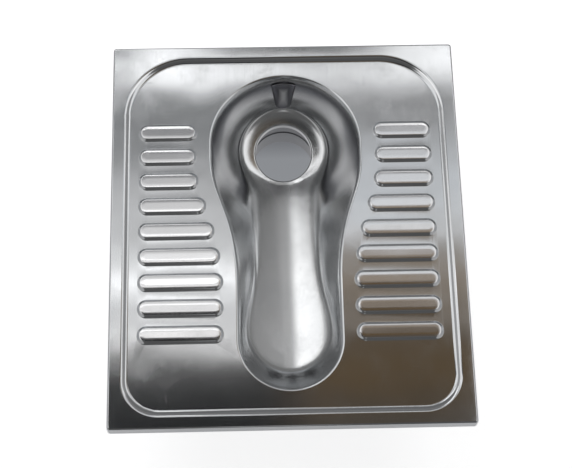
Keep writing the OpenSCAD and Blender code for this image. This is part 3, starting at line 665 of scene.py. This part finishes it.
def rear_wall_share(z):
    """How far down the rear wall's line a height lies, found by halving."""
    low, high = 0.0, 1.0
    for _ in range(20):
        middle = (low + high) / 2
        low, high = (middle, high) if wall_point(0, middle).z > z else (low, middle)
    return (low + high) / 2


wall_y = wall_point(0, rear_wall_share(-INLET_DEPTH)).y


def drill(piece, radius, length, sides, place, turn):
    """Cuts a round hole, given in millimetres, through a piece."""
    bpy.ops.mesh.primitive_cylinder_add(vertices=sides, radius=radius / 1000,
                                        depth=length / 1000, location=place, rotation=turn)
    cutter = bpy.context.object
    apply_modifier(piece, "BOOLEAN", object=cutter, operation="DIFFERENCE", solver="EXACT")
    bpy.data.objects.remove(cutter)


drill(bowl, INLET_RADIUS + SEAT, 50, 64, at(0, wall_y, -INLET_DEPTH), (math.pi / 2, 0, 0))
# The bowl's steel is a lighter copy of the sheet's: painted light that brightens the shaded bowl
satin_bowl = steel("satin_bowl", (0.73, 0.735, 0.74), (0.66, 0.67, 0.68), 0.18,
                   (260, 260, 260), 0.6, wave=0.0012)
fit(bowl, 40, satin_bowl, "brushed_stainless", "bowl")

# ---- Flush hood -----------------------------------------------------------------------------
# A small pressed cowl of stainless sheet over the inlet's mouth, tacked to the rear wall along
# its arched top and its sides, and open at the bottom so that the water runs down the wall.

HOOD_TOP_DEPTH, HOOD_LOW_DEPTH, HOOD_TOP_HALF, HOOD_LOW_HALF = 17, 80, 18.7, 12.6
HOOD_STAND, HOOD_EDGE, HOOD_ARCH, HOOD_SHEET = 13, 1.2, 6, 1
HOOD_FLATNESS, HOOD_ROWS, HOOD_COLUMNS, HOOD_CROWDING = 0.7, 24, 80, 1.6
CREASES, CREASE_HALF, CREASE_DEPTH, CREASE_REACH = (-3.4, 3.4), 1.1, 0.5, 1.15


def hood_point(t, angle):
    """A point of the cowl's face, at a share t of the way down and an angle round it."""
    depth = HOOD_TOP_DEPTH + (HOOD_LOW_DEPTH - HOOD_TOP_DEPTH) * t
    depth += HOOD_ARCH * (1 - math.sin(angle)) * (1 - t)
    v = rear_wall_share(-depth)
    half = HOOD_TOP_HALF + (HOOD_LOW_HALF - HOOD_TOP_HALF) * t
    stand = HOOD_EDGE + (HOOD_STAND - HOOD_EDGE) * math.sqrt(math.sin(math.pi / 2 * t))
    x = -half * math.cos(angle)
    rear_radius = MOUTH_REAR_RADIUS - LIP_RADIUS
    bow = x * x / (2 * (rear_radius + (FOOT_RADIUS - rear_radius) * v))
    crease = sum(math.exp(-((x - side) / CREASE_HALF) ** 2) for side in CREASES)
    crease *= CREASE_DEPTH * math.sin(math.pi * min(1, CREASE_REACH * t))
    return (x, wall_point(0, v).y - bow - SEAT - HOOD_SHEET
            - stand * math.sin(angle) ** HOOD_FLATNESS + crease, -depth)


cowl = Sheet()
cowl.rows([[hood_point((j / HOOD_ROWS) ** HOOD_CROWDING, math.pi * i / HOOD_COLUMNS)
            for i in range(HOOD_COLUMNS + 1)] for j in range(HOOD_ROWS + 1)], closed=False)
hood = cowl.skin("flush_cowl")
back_with_sheet(hood, HOOD_SHEET)
# Its steel is painted far lighter than the sheet's, as a painted highlight
cowl_steel = steel("cowl_steel", (0.97, 0.97, 0.98), (0.92, 0.92, 0.93), 0.33,
                   (60, 60, 1500), 0.5)
# It's brushed across, so that what it shows is drawn out up and down
tree = cowl_steel.node_tree
shader = tree.nodes["Principled BSDF"]
tree.links.new(add_node(tree, "CombineXYZ", {"Z": 1})[0], shader.inputs["Tangent"])
shader.inputs["Anisotropic"].default_value = 0.9
# Painted shade darkens its sides, its top and its lower end, leaving a painted highlight down its
# middle; all in metres
TINT, TINT_FROM_MIDDLE = (0.26, 0.26, 0.29), (0.0015, 0.0080)
TINT_BELOW_TOP, TINT_ABOVE_END = (0.016, 0.006), (0.004, 0.030)
cowl_top, cowl_end = ((PLATE_TOP - depth) / 1000 for depth in (HOOD_TOP_DEPTH, HOOD_LOW_DEPTH))
axes = split(tree, object_place(tree))
near_sides = remap(tree, math_node(tree, "ABSOLUTE", axes["X"]), *TINT_FROM_MIDDLE)
near_top = remap(tree, axes["Z"], *(cowl_top - down for down in TINT_BELOW_TOP))
near_end = remap(tree, axes["Z"], *(cowl_end + up for up in TINT_ABOVE_END), 1.0, 0.0)
tinted = math_node(tree, "MAXIMUM", near_sides, math_node(tree, "MAXIMUM", near_top, near_end))
worn = shader.inputs["Base Color"].links[0].from_socket
tree.links.new(blend_colours(tree, tinted, worn, TINT), shader.inputs["Base Color"])
fit(hood, 50, cowl_steel, "brushed_stainless", "flush_hood")

# ---- Flush inlet ----------------------------------------------------------------------------
# A short stainless tube welded through the rear wall behind the cowl. A rubber sleeve, held by a
# worm-drive clip, joins it to the flush pipe.

INLET_WALL, INLET_OUT, INLET_IN = 1.5, 28, 2
SLEEVE_WALL, SLEEVE_GRIP, SLEEVE_SOCKET, SLEEVE_STOP = 4.5, 20, 22, 2
SLEEVE_RIBS, SLEEVE_RIB_WIDTH, SLEEVE_RIB_STAND = (1.5, 15.5, 24, 29, 34, 39), 3, 0.6
INLET_WELD_OUT, INLET_WELD_SPREAD = 1.6, 0.9
pipe_end_y = wall_y + INLET_OUT
sleeve_radius = INLET_RADIUS + SLEEVE_WALL


def spun(name, profile, centre, axis, steps):
    """A turned piece: a closed (radius, distance along the axis) profile spun round it."""
    if axis == "Y":
        points = [at(centre[0] + r, centre[1] + t, centre[2]) for r, t in profile]
    else:
        points = [at(centre[0] + r, centre[1], centre[2] + t) for r, t in profile]
    closed = [(i, (i + 1) % len(points)) for i in range(len(points))]
    piece = new_piece(name, points, edges=closed)
    start_editing(piece)
    bpy.ops.mesh.spin(steps=steps, angle=2 * math.pi, center=at(*centre),
                      axis=(0, 1, 0) if axis == "Y" else (0, 0, 1))
    bpy.ops.mesh.select_all(action="SELECT")
    bpy.ops.mesh.remove_doubles(threshold=MERGE)
    bpy.ops.mesh.normals_make_consistent(inside=False)
    stop_editing()
    return piece


def ease_edges(piece, width, segments=3, angle=30):
    """Rounds a piece's edges, and clears the faces that come out with no width."""
    apply_modifier(piece, "BEVEL", width=width / 1000, segments=segments, limit_method="ANGLE",
                   angle_limit=math.radians(angle), harden_normals=False)
    start_editing(piece)
    bpy.ops.mesh.dissolve_degenerate(threshold=2 * MERGE)
    stop_editing()


tube_steel = steel("drawn_tube", (0.58, 0.58, 0.59), (0.49, 0.49, 0.50), 0.30,
                   (200, 200, 1500), 0.5)
pipe = spun("inlet_tube", [
    (INLET_RADIUS - INLET_WALL, -INLET_IN), (INLET_RADIUS, -INLET_IN),
    (INLET_RADIUS, INLET_OUT), (INLET_RADIUS - INLET_WALL, INLET_OUT),
], (0, wall_y, -INLET_DEPTH), "Y", 72)
ease_edges(pipe, 0.35)
fit(pipe, 40, tube_steel, "tube_stainless", "inlet_pipe")


def mottled(name, cloud, fade, colours, fine, depth):
    """A material of two tones that a clouded noise blends, with a fine noise as its relief."""
    material, tree, shader, place = new_material(name)
    blend = remap(tree, noise(tree, place, *cloud), *fade)
    tree.links.new(blend_colours(tree, blend, *colours), shader.inputs["Base Color"])
    relief = noise(tree, place, *fine)
    bump(tree, shader, relief, depth)
    return material, tree, shader, blend, relief


# Weld beads: overlapping ripples, heat-tinted straw and blue beside the seam
WELD_BEAD, BEAD_SIDES, RIPPLE_STEPS, RIPPLE_SWELL, RIPPLE_WANDER = 1.5, 10, 4, 0.14, 0.6
weld_metal, tree, shader, _, ripple = mottled(
    "weld_bead", (60.0, 2), (0.35, 0.65), ((0.55, 0.50, 0.43), (0.40, 0.41, 0.46)),
    (420.0, 3, 0.6), 0.00025)
shader.inputs["Metallic"].default_value = 1.0
tree.links.new(remap(tree, ripple, 0.3, 0.7, 0.28, 0.5), shader.inputs["Roughness"])


def weld_ring(name, centre, radius, turn_about_x, ripples):
    """A ring of weld, drawn as a torus whose bead swells with each ripple."""
    bpy.ops.mesh.primitive_torus_add(
        major_segments=ripples * RIPPLE_STEPS, minor_segments=BEAD_SIDES,
        major_radius=radius / 1000, minor_radius=WELD_BEAD / 1000, location=at(*centre),
        rotation=(turn_about_x, 0, 0))
    piece = bpy.context.object
    piece.name = name
    for i, vertex in enumerate(piece.data.vertices):
        station = i // BEAD_SIDES
        phase = 2 * math.pi * station / RIPPLE_STEPS + RIPPLE_WANDER * math.sin(station)
        ringward = Vector((vertex.co.x, vertex.co.y, 0)).normalized() * radius / 1000
        vertex.co = ringward + (vertex.co - ringward) * (1 + RIPPLE_SWELL * math.sin(phase))
    bpy.ops.object.transform_apply(location=True, rotation=True, scale=True)
    fit(piece, 60, weld_metal, "tube_stainless")


weld_ring("inlet_weld", (0, wall_y + INLET_WELD_OUT, -INLET_DEPTH),
          INLET_RADIUS + INLET_WELD_SPREAD, math.pi / 2, 44)

# The sleeve: black rubber with a faint bloom, and ribs round its outside
rubber, tree, shader, bloom, _ = mottled(
    "moulded_rubber", (55.0, 5, 0.65), (0.45, 0.75),
    ((0.018, 0.018, 0.019), (0.045, 0.044, 0.043)), (1900.0, 2, 0.5), 0.00003)
tree.links.new(remap(tree, bloom, 0.0, 1.0, 0.48, 0.66), shader.inputs["Roughness"])
shader.inputs["Specular IOR Level"].default_value = 0.4
sleeve_length = SLEEVE_GRIP + SLEEVE_STOP + SLEEVE_SOCKET
sleeve_waist = sleeve_radius - SLEEVE_RIB_STAND
sleeve_outside = [(sleeve_waist, 0)]
for start in SLEEVE_RIBS:
    end = start + SLEEVE_RIB_WIDTH
    sleeve_outside += [(sleeve_waist, start), (sleeve_radius, start + SLEEVE_RIB_STAND),
                       (sleeve_radius, end - SLEEVE_RIB_STAND), (sleeve_waist, end)]
sleeve_outside += [(sleeve_waist, sleeve_length)]
sleeve = spun("rubber_sleeve", [
    (INLET_RADIUS + SEAT, 0), *sleeve_outside, (INLET_RADIUS, sleeve_length),
    (INLET_RADIUS, SLEEVE_GRIP + SLEEVE_STOP + SEAT),
    (INLET_RADIUS - INLET_WALL, SLEEVE_GRIP + SLEEVE_STOP + SEAT),
    (INLET_RADIUS - INLET_WALL, SLEEVE_GRIP + SEAT), (INLET_RADIUS + SEAT, SLEEVE_GRIP + SEAT),
], (0, pipe_end_y - SLEEVE_GRIP, -INLET_DEPTH), "Y", 72)
ease_edges(sleeve, 0.3, 2)
fit(sleeve, 45, rubber, "black_rubber", "inlet_sleeve")

# The clip: a slotted band, a pressed housing and a slotted screw, in bright zinc-like steel
CLIP_WIDTH, CLIP_SHEET, CLIP_SLOTS, SLOT_INSET, SLOT_DEPTH = 9, 0.8, 60, 0.12, 0.4
CLIP_CHAMFER, CLIP_CORNER, CLIP_BORDER, SLOT_ROW_HALF = 0.15, 0.5, 2.2, 0.5
clip_steel = steel("clip_steel", (0.60, 0.61, 0.62), (0.50, 0.50, 0.51), 0.24,
                   (300, 1500, 300), 0.7)
clip_radius = sleeve_radius + SEAT + CLIP_SHEET
clip_y = pipe_end_y - SLEEVE_GRIP / 2
clip_edge = CLIP_WIDTH / 2
band_side = [(clip_radius - CLIP_SHEET, clip_edge), (clip_radius - CLIP_CHAMFER, clip_edge),
             (clip_radius, clip_edge - CLIP_CORNER), (clip_radius, clip_edge - CLIP_BORDER)]
band = spun("clip_band", [(r, -y) for r, y in band_side] + band_side[::-1],
            (0, clip_y, -INLET_DEPTH), "Y", 2 * CLIP_SLOTS)
# The screw's slots: every other face round the band's middle is pressed in
_, middle_y, axis_z = at(0, clip_y, -INLET_DEPTH)
start_editing(band)
bpy.ops.mesh.select_all(action="DESELECT")
stop_editing()
for face in band.data.polygons:
    middle = face.center
    outer = math.hypot(middle.x, middle.z - axis_z) > (clip_radius - SEAT) / 1000
    turn = math.atan2(middle.x, middle.z - axis_z) / (2 * math.pi) * 2 * CLIP_SLOTS
    in_row = abs(middle.y - middle_y) < SLOT_ROW_HALF / 1000
    face.select = outer and in_row and math.floor(turn) % 2 == 0
bpy.ops.object.mode_set(mode="EDIT")
bpy.ops.mesh.inset(thickness=SLOT_INSET / 1000, use_individual=True)
bpy.ops.mesh.extrude_faces_move(TRANSFORM_OT_shrink_fatten={"value": -SLOT_DEPTH / 1000})
stop_editing()


def trimmed_copy(name, node, edge, segments=2):
    """A CAD node's mesh merged into whole faces, with its edges eased."""
    piece = placed(name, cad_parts[node].data.copy())
    start_editing(piece)
    bpy.ops.mesh.remove_doubles(threshold=MERGE)
    bpy.ops.mesh.dissolve_limited(angle_limit=math.radians(1))
    stop_editing()
    ease_edges(piece, edge, segments)
    return piece


def join(name, *pieces):
    """Several finished meshes as one piece."""
    select_only(pieces[0])
    for piece in pieces:
        piece.select_set(True)
    bpy.ops.object.join()
    pieces[0].name = name
    return pieces[0]


HOUSING_WIDTH, HOUSING_HEIGHT, HOUSING_EDGE, SCREW_HOLE = 13, 7, 0.9, 2.6
housing_drop = clip_radius + (HOUSING_HEIGHT - CLIP_SHEET) / 2
housing_place = at(0, clip_y, -INLET_DEPTH - housing_drop)
bpy.ops.mesh.primitive_cube_add(size=1, location=housing_place)
housing = bpy.context.object
housing.scale = (HOUSING_WIDTH / 1000, CLIP_WIDTH / 1000, HOUSING_HEIGHT / 1000)
bpy.ops.object.transform_apply(location=True, rotation=True, scale=True)
drill(housing, SCREW_HOLE, 20, 32, housing_place, (0, math.pi / 2, 0))
ease_edges(housing, HOUSING_EDGE, 4, 60)
fit(join("worm_clip", band, housing), 35, clip_steel, "clip_steel", "inlet_clip")
screw = trimmed_copy("clip_screw", "inlet_clip_screw", 0.3)
fit(screw, 35, clip_steel, "clip_steel", "inlet_clip_screw")

# ---- Outlet ---------------------------------------------------------------------------------
# A stainless spigot welded under the land for the soil pipe's socket, with a rolled groove that
# holds a two-lipped rubber ring.

SPIGOT_RADIUS, SPIGOT_WALL, SPIGOT_BARE = 50.8, 1.5, 26
SEAL_WIDTH, GROOVE_DEPTH, SEAL_LIP = 10, 1.2, 4
OUTLET_WELD_DROP, OUTLET_WELD_SPREAD = 0.8, 0.7
groove_radius = SPIGOT_RADIUS - GROOVE_DEPTH
seal_z = -PLATE_TOP + SPIGOT_BARE
spigot_top = -FLOOR_REAR_DEPTH + 2 * LAND_RADIUS
inner = SPIGOT_RADIUS - SPIGOT_WALL
# Pickled steel, with painted shade darkening its inside; the fade is measured out from the tube's
# inner wall
INSIDE_STEEL, INSIDE_FADE = (0.26, 0.265, 0.28), (0.1, 0.7)
spigot_steel, tree, shader, place, lines, used, tone = bare_metal(
    "pickled_spigot", (0.58, 0.58, 0.59), (0.49, 0.49, 0.50), (220, 220, 1500), 0.6)
from_axis = length_of(tree, stretched(tree, place, (1, 1, 0)))
outside = remap(tree, from_axis, *((inner + out) / 1000 for out in INSIDE_FADE))
tree.links.new(blend_colours(tree, outside, INSIDE_STEEL, tone), shader.inputs["Base Color"])
tree.links.new(roughened(tree, lines, used, 0.27, 0.36), shader.inputs["Roughness"])
grain_relief(tree, shader, lines, used)
spigot = spun("outlet_tube", [
    (inner, -PLATE_TOP), (SPIGOT_RADIUS, -PLATE_TOP), (SPIGOT_RADIUS, seal_z),
    (groove_radius, seal_z), (groove_radius, seal_z + SEAL_WIDTH),
    (SPIGOT_RADIUS, seal_z + SEAL_WIDTH), (SPIGOT_RADIUS, spigot_top), (inner, spigot_top),
    (inner, seal_z + SEAL_WIDTH + SPIGOT_WALL),
    (groove_radius - SPIGOT_WALL, seal_z + SEAL_WIDTH + SPIGOT_WALL),
    (groove_radius - SPIGOT_WALL, seal_z - SPIGOT_WALL), (inner, seal_z - SPIGOT_WALL),
], (0, OUTLET_Y, 0), "Z", 144)
ease_edges(spigot, 0.45, 3)
tilt = math.radians(LAND_TILT)
land_under = (-FLOOR_REAR_DEPTH + LAND_RADIUS * math.tan(tilt)
              - (SHEET + SEAT) / math.cos(tilt))
start_editing(spigot)
bpy.ops.mesh.bisect(plane_co=at(0, OUTLET_Y, land_under),
                    plane_no=(0, -math.sin(tilt), math.cos(tilt)), use_fill=True,
                    clear_outer=True)
stop_editing()
fit(spigot, 35, spigot_steel, "tube_stainless", "outlet_spigot")
weld_ring("outlet_weld", (0, OUTLET_Y, land_under - OUTLET_WELD_DROP),
          SPIGOT_RADIUS + OUTLET_WELD_SPREAD, tilt, 110)

seal_body = SPIGOT_RADIUS + 0.4 * SEAL_LIP
seal = spun("lip_seal", [
    (groove_radius + SEAT, SEAT), (seal_body, SEAT), (seal_body + 1.4, 0.12 * SEAL_WIDTH),
    (SPIGOT_RADIUS + SEAL_LIP, 0.3 * SEAL_WIDTH), (seal_body + 0.3, 0.36 * SEAL_WIDTH),
    (seal_body, 0.4 * SEAL_WIDTH), (seal_body, 0.6 * SEAL_WIDTH),
    (seal_body + 1.3, 0.7 * SEAL_WIDTH), (SPIGOT_RADIUS + SEAL_LIP, 0.85 * SEAL_WIDTH),
    (seal_body + 0.3, 0.93 * SEAL_WIDTH), (seal_body, SEAL_WIDTH - SEAT),
    (groove_radius + SEAT, SEAL_WIDTH - SEAT),
], (0, OUTLET_Y, seal_z), "Z", 144)
ease_edges(seal, 0.3, 2)
fit(seal, 50, rubber, "black_rubber", "outlet_seal")

# ---- Underside ------------------------------------------------------------------------------
# Hat channels spot-welded along the treads, and bitumen damping pads glued under the treads'
# front and the bowl's floor.

mill_steel = steel("mill_sheet", (0.50, 0.50, 0.51), (0.42, 0.42, 0.43), 0.38,
                   (30, 900, 900), 0.9)
# The weld spots' depth is their middle's, below the flange's top
SPOTS, SPOT_RADIUS, SPOT_HEIGHT, SPOT_EDGE, SPOT_INSET, SPOT_DEPTH = 9, 2.6, 0.3, 0.12, 5.5, 1.25
for name in ("left", "right"):
    channel = trimmed_copy("hat_channel_" + name, "stiffener_" + name, 0.6, 3)
    low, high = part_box("stiffener_" + name)
    spots = []
    for x in (low.x + SPOT_INSET / 1000, high.x - SPOT_INSET / 1000):
        for k in range(SPOTS):
            y = low.y + (high.y - low.y) * (k + 0.5) / SPOTS
            bpy.ops.mesh.primitive_cylinder_add(
                vertices=20, radius=SPOT_RADIUS / 1000, depth=SPOT_HEIGHT / 1000,
                location=(x, y, high.z - SPOT_DEPTH / 1000))
            spots.append(bpy.context.object)
            start_editing(spots[-1])
            bpy.ops.mesh.bevel(offset=SPOT_EDGE / 1000, segments=2, affect="EDGES")
            bpy.ops.mesh.remove_doubles(threshold=MERGE)
            stop_editing()
            bpy.ops.object.transform_apply(location=True, rotation=True, scale=True)
    channel = join("hat_channel_" + name, channel, *spots)
    fit(channel, 35, mill_steel, "mill_stainless", "stiffener_" + name)

bitumen, tree, shader, _, crumb = mottled(
    "bitumen_pad", (40.0, 6, 0.7), (0.42, 0.72), ((0.035, 0.035, 0.037), (0.085, 0.083, 0.08)),
    (700.0, 4, 0.6), 0.0002)
tree.links.new(remap(tree, crumb, 0.3, 0.7, 0.62, 0.9), shader.inputs["Roughness"])
for name, node in (("tread_damping_left", "tread_pad_left"),
                   ("tread_damping_right", "tread_pad_right"), ("bowl_damping", "bowl_pad")):
    fit(trimmed_copy(name, node, 0.5, 3), 40, bitumen, "damping_pad", node)

# ---- Anchors and earth tag ------------------------------------------------------------------
# Bent straps welded on the return flange, with holed feet that the mortar or a screw holds, and
# a flat tab for the bonding cable.

for end in ("front", "middle", "rear"):
    for side in ("left", "right"):
        strap = trimmed_copy(f"strap_{end}_{side}", f"anchor_{end}_{side}", 0.35, 3)
        fit(strap, 35, mill_steel, "mill_stainless", f"anchor_{end}_{side}")
tag = trimmed_copy("bonding_tag", "earth_tag", 0.25, 2)
fit(tag, 35, mill_steel, "mill_stainless", "earth_tag")

# ---- Studio ---------------------------------------------------------------------------------
# A pale floor just under the spigot, soft light cards overhead, and the camera where the
# photograph was taken from.

CARD_HEIGHT, STRIP_HEIGHT, PANEL_PEAK = 1500, 1480, 2.6
# The floor's sizes are in metres from the outlet's axis
FLOOR_SIZE, FLOOR_DROP = 9, 0.002
HOLE_FADE, SEEN_FADE, MIRRORED_FADE = (0.05, 0.09), (0.02, 0.085), (-0.015, 0.025)
bpy.ops.mesh.primitive_plane_add(size=FLOOR_SIZE, location=(0, 0, -FLOOR_DROP))
ground = bpy.context.object
ground.name = "studio_floor"
pale, tree, shader, place = new_material("pale_floor")
shader.inputs["Roughness"].default_value = 0.9
shader.inputs["Specular IOR Level"].default_value = 0.1
y = split(tree, place)["Y"]
seen = add_node(tree, "LightPath")["Is Camera Ray"]
past_outlet = remap(tree, length_of(tree, place), *HOLE_FADE)
open_colour = blend_colours(tree, noise(tree, place, 3.0), (0.9, 0.9, 0.9), (0.88, 0.88, 0.88))
# Its colour is painted near black under the outlet, a painted shadow beneath the pan
tree.links.new(blend_colours(tree, past_outlet, (0.05, 0.05, 0.05), open_colour),
               shader.inputs["Base Color"])
# Painted shadow and reflection: seen through the outlet it shades from grey to dark at the rear;
# the spigot mirrors it dark in front and pale behind. Around the pan it's white to the eye and
# painted dimmer in the steel.
in_outlet = blend_colours(tree, remap(tree, y, *SEEN_FADE), (0.36, 0.375, 0.40),
                          (0.09, 0.095, 0.11))
mirrored = blend_colours(tree, remap(tree, y, *MIRRORED_FADE), (0.15, 0.155, 0.17),
                         (0.80, 0.80, 0.81))
in_outlet = blend_colours(tree, seen, mirrored, in_outlet)
open_floor = blend_colours(tree, seen, (0.35, 0.35, 0.36), (1, 1, 1))
tree.links.new(blend_colours(tree, past_outlet, in_outlet, open_floor),
               shader.inputs["Emission Color"])
shader.inputs["Emission Strength"].default_value = 0.7
# From below it is clear, so that the underside can be seen
one_sided = add_node(tree, "MixShader", {0: add_node(tree, "NewGeometry")["Backfacing"],
                                         1: shader.outputs[0],
                                         2: add_node(tree, "BsdfTransparent")[0]})
tree.links.new(one_sided[0], tree.nodes["Material Output"].inputs["Surface"])
ground.data.materials.append(pale)


def light_card(name, left, front, right, rear, strength=PANEL_PEAK, height=CARD_HEIGHT):
    """A level card over the pan, given by its edges in millimetres; returns its material's tree
    and its colour's socket."""
    place = at((left + right) / 2, (front + rear) / 2, height)
    bpy.ops.mesh.primitive_plane_add(size=1, location=place)
    card = bpy.context.object
    card.name = name
    card.scale = ((right - left) / 1000, (rear - front) / 1000, 1)
    bpy.ops.object.transform_apply(location=True, rotation=True, scale=True)
    glow = bpy.data.materials.new(name + "_glow")
    glow.use_nodes = True
    tree = glow.node_tree
    tree.nodes.clear()
    emission = add_node(tree, "Emission", {"Color": (1, 1, 1, 1), "Strength": strength})[0]
    add_node(tree, "OutputMaterial", {"Surface": emission})
    card.data.materials.append(glow)
    card.visible_camera = False
    return tree, emission.node.inputs["Color"]


def glow_ramp(tree, place_along, stops, along_x=False):
    """Brightness along a card, from the front or the left: (millimetres, brightness, warmth)."""
    node = tree.nodes.new("ShaderNodeValToRGB")
    ramp = node.color_ramp
    front, rear = stops[0][0], stops[-1][0]
    while len(ramp.elements) < len(stops):
        ramp.elements.new(0.5)
    for element, (place, bright, warmth) in zip(ramp.elements, stops):
        element.position = (place - front) / (rear - front)
        value = bright / PANEL_PEAK
        element.color = (value * (1 + warmth), value, value * (1 - warmth), 1)
    low, high = ((at(front, 0, 0)[0], at(rear, 0, 0)[0]) if along_x
                 else (at(0, front, 0)[1], at(0, rear, 0)[1]))
    tree.links.new(remap(tree, place_along, low, high), node.inputs[0])
    return node.outputs[0]


# The plate shows the overhead panel: its left half from one ramp, its right half from another,
# and an even glow past SIDE_FADE. The fades across it are in metres, the rim's in millimetres.
HALVES_FADE, SIDE_FADE, SIDE_GLOW, RIM_FADE = (-0.02, 0.10), (0.52, 0.68), 1.15, (1062, 1080)
tree, colour = light_card("overhead_panel", -1500, -300, 1500, 1200)
axes = split(tree, object_place(tree))
left_glow = glow_ramp(tree, axes["Y"], [
    (-300, 0.03, -0.08), (150, 0.03, -0.03), (215, 0.045, 0.0), (262, 0.03, 0.02),
    (278, 1.3, 0.02), (300, 1.8, 0.01), (350, 0.75, 0), (400, 1.0, 0), (425, 0.8, 0), (456, 2.6, 0),
    (495, 1.1, 0), (525, 1.25, 0), (565, 0.8, 0), (600, 0.8, 0), (664, 0.88, 0), (700, 0.6, 0),
    (733, 0.76, 0), (775, 0.42, -0.01), (907, 0.31, -0.02), (960, 0.2, -0.02), (1000, 0.12, -0.01),
    (1022, 1.7, 0), (1050, 2.5, 0), (1200, 2.6, 0),
])
right_glow = glow_ramp(tree, axes["Y"], [
    (-300, 0.085, 0.12), (95, 0.085, 0.2), (147, 0.085, 0.3), (200, 0.09, 0.5), (260, 0.09, 0.45),
    (320, 0.075, 0.28), (345, 0.34, 0.12), (365, 0.3, 0.15), (385, 0.10, 0.3), (430, 0.34, 0.2),
    (460, 0.26, 0.22), (530, 0.36, 0.1), (562, 0.42, 0.02), (590, 1.2, 0), (630, 0.72, -0.02),
    (664, 1.1, -0.03), (700, 0.65, -0.03), (735, 0.9, -0.03), (870, 0.52, -0.01),
    (940, 0.25, 0), (985, 0.24, 0), (1012, 1.0, 0), (1045, 1.8, 0), (1200, 2.0, 0),
])
middle_glow = blend_colours(tree, remap(tree, axes["X"], *HALVES_FADE), left_glow, right_glow)
outside = remap(tree, math_node(tree, "ABSOLUTE", axes["X"]), *SIDE_FADE)
middle_glow = blend_colours(tree, outside, middle_glow, (SIDE_GLOW / PANEL_PEAK,) * 3)
# The plate's rear rim shows this end of the panel: dim in its middle and at its left corner
rim_glow = glow_ramp(tree, axes["X"], [
    (-400, 0.3, -0.02), (-360, 0.5, -0.02), (-290, 1.7, 0), (-210, 1.5, 0), (-130, 0.5, 0),
    (60, 0.15, 0), (250, 0.4, 0), (350, 1.3, 0), (480, 1.7, 0),
], along_x=True)
rearmost = remap(tree, axes["Y"], *(at(0, y, 0)[1] for y in RIM_FADE))
tree.links.new(blend_colours(tree, rearmost, middle_glow, rim_glow), colour)
for card in (
    ("front_card", -1300, -9000, 1300, -300, 0.12),
    ("front_left_card", -5000, -3500, -1300, -300, 0.55),
    ("front_right_card", 1300, -3500, 5000, -300, 0.55),
    ("front_strip", -170, -2300, 170, -1150, 0.5, STRIP_HEIGHT),
    ("rear_card", -5000, 2000, 5000, 7000, 0.2),
    ("left_side_card", -3500, -300, -1500, 2000, 0.45),
    ("right_side_card", 1500, -300, 3500, 2000, 0.35),
):
    light_card(*card)
# The bowl's floor shows this one: bright to its left, dim to its right, bright at its very edge
tree, colour = light_card("rear_panel", -1500, 1200, 1500, 2000)
tree.links.new(glow_ramp(tree, split(tree, object_place(tree))["X"], [
    (-1500, 1.5, 0), (-270, 1.7, 0), (-100, 0.5, 0), (40, 0.42, 0), (180, 0.55, 0),
    (380, 0.33, 0), (1500, 0.3, 0), (1500, PANEL_PEAK, 0),
], along_x=True), colour)
world = bpy.data.worlds.new("studio")
bpy.context.scene.world = world
world.use_nodes = True
tree = world.node_tree
sky = tree.nodes["Background"]
axes = split(tree, add_node(tree, "TexCoord")["Generated"])
rearward = remap(tree, axes["Y"], -0.7, 0.5)
dim = blend_colours(tree, rearward, (0.07, 0.075, 0.08), (0.36, 0.38, 0.40))
sideways = remap(tree, math_node(tree, "ABSOLUTE", axes["X"]), 0.35, 0.75)
dim = blend_colours(tree, sideways, dim, (0.45, 0.46, 0.47))
seen = add_node(tree, "LightPath")["Is Camera Ray"]
tree.links.new(blend_colours(tree, seen, dim, (0.85, 0.85, 0.86)), sky.inputs["Color"])

camera = placed("camera", bpy.data.cameras.new("camera"))
camera.location = (-0.05616, -0.99039, 2.22264)
camera.rotation_euler = [math.radians(a) for a in (21.5556, -0.9422, -1.435)]
camera.data.lens, camera.data.sensor_width, camera.data.sensor_fit = 93.76, 36, "HORIZONTAL"
camera.data.clip_start, camera.data.clip_end = 0.05, 50
bpy.context.scene.camera = camera
bpy.context.scene.view_settings.view_transform = "Standard"
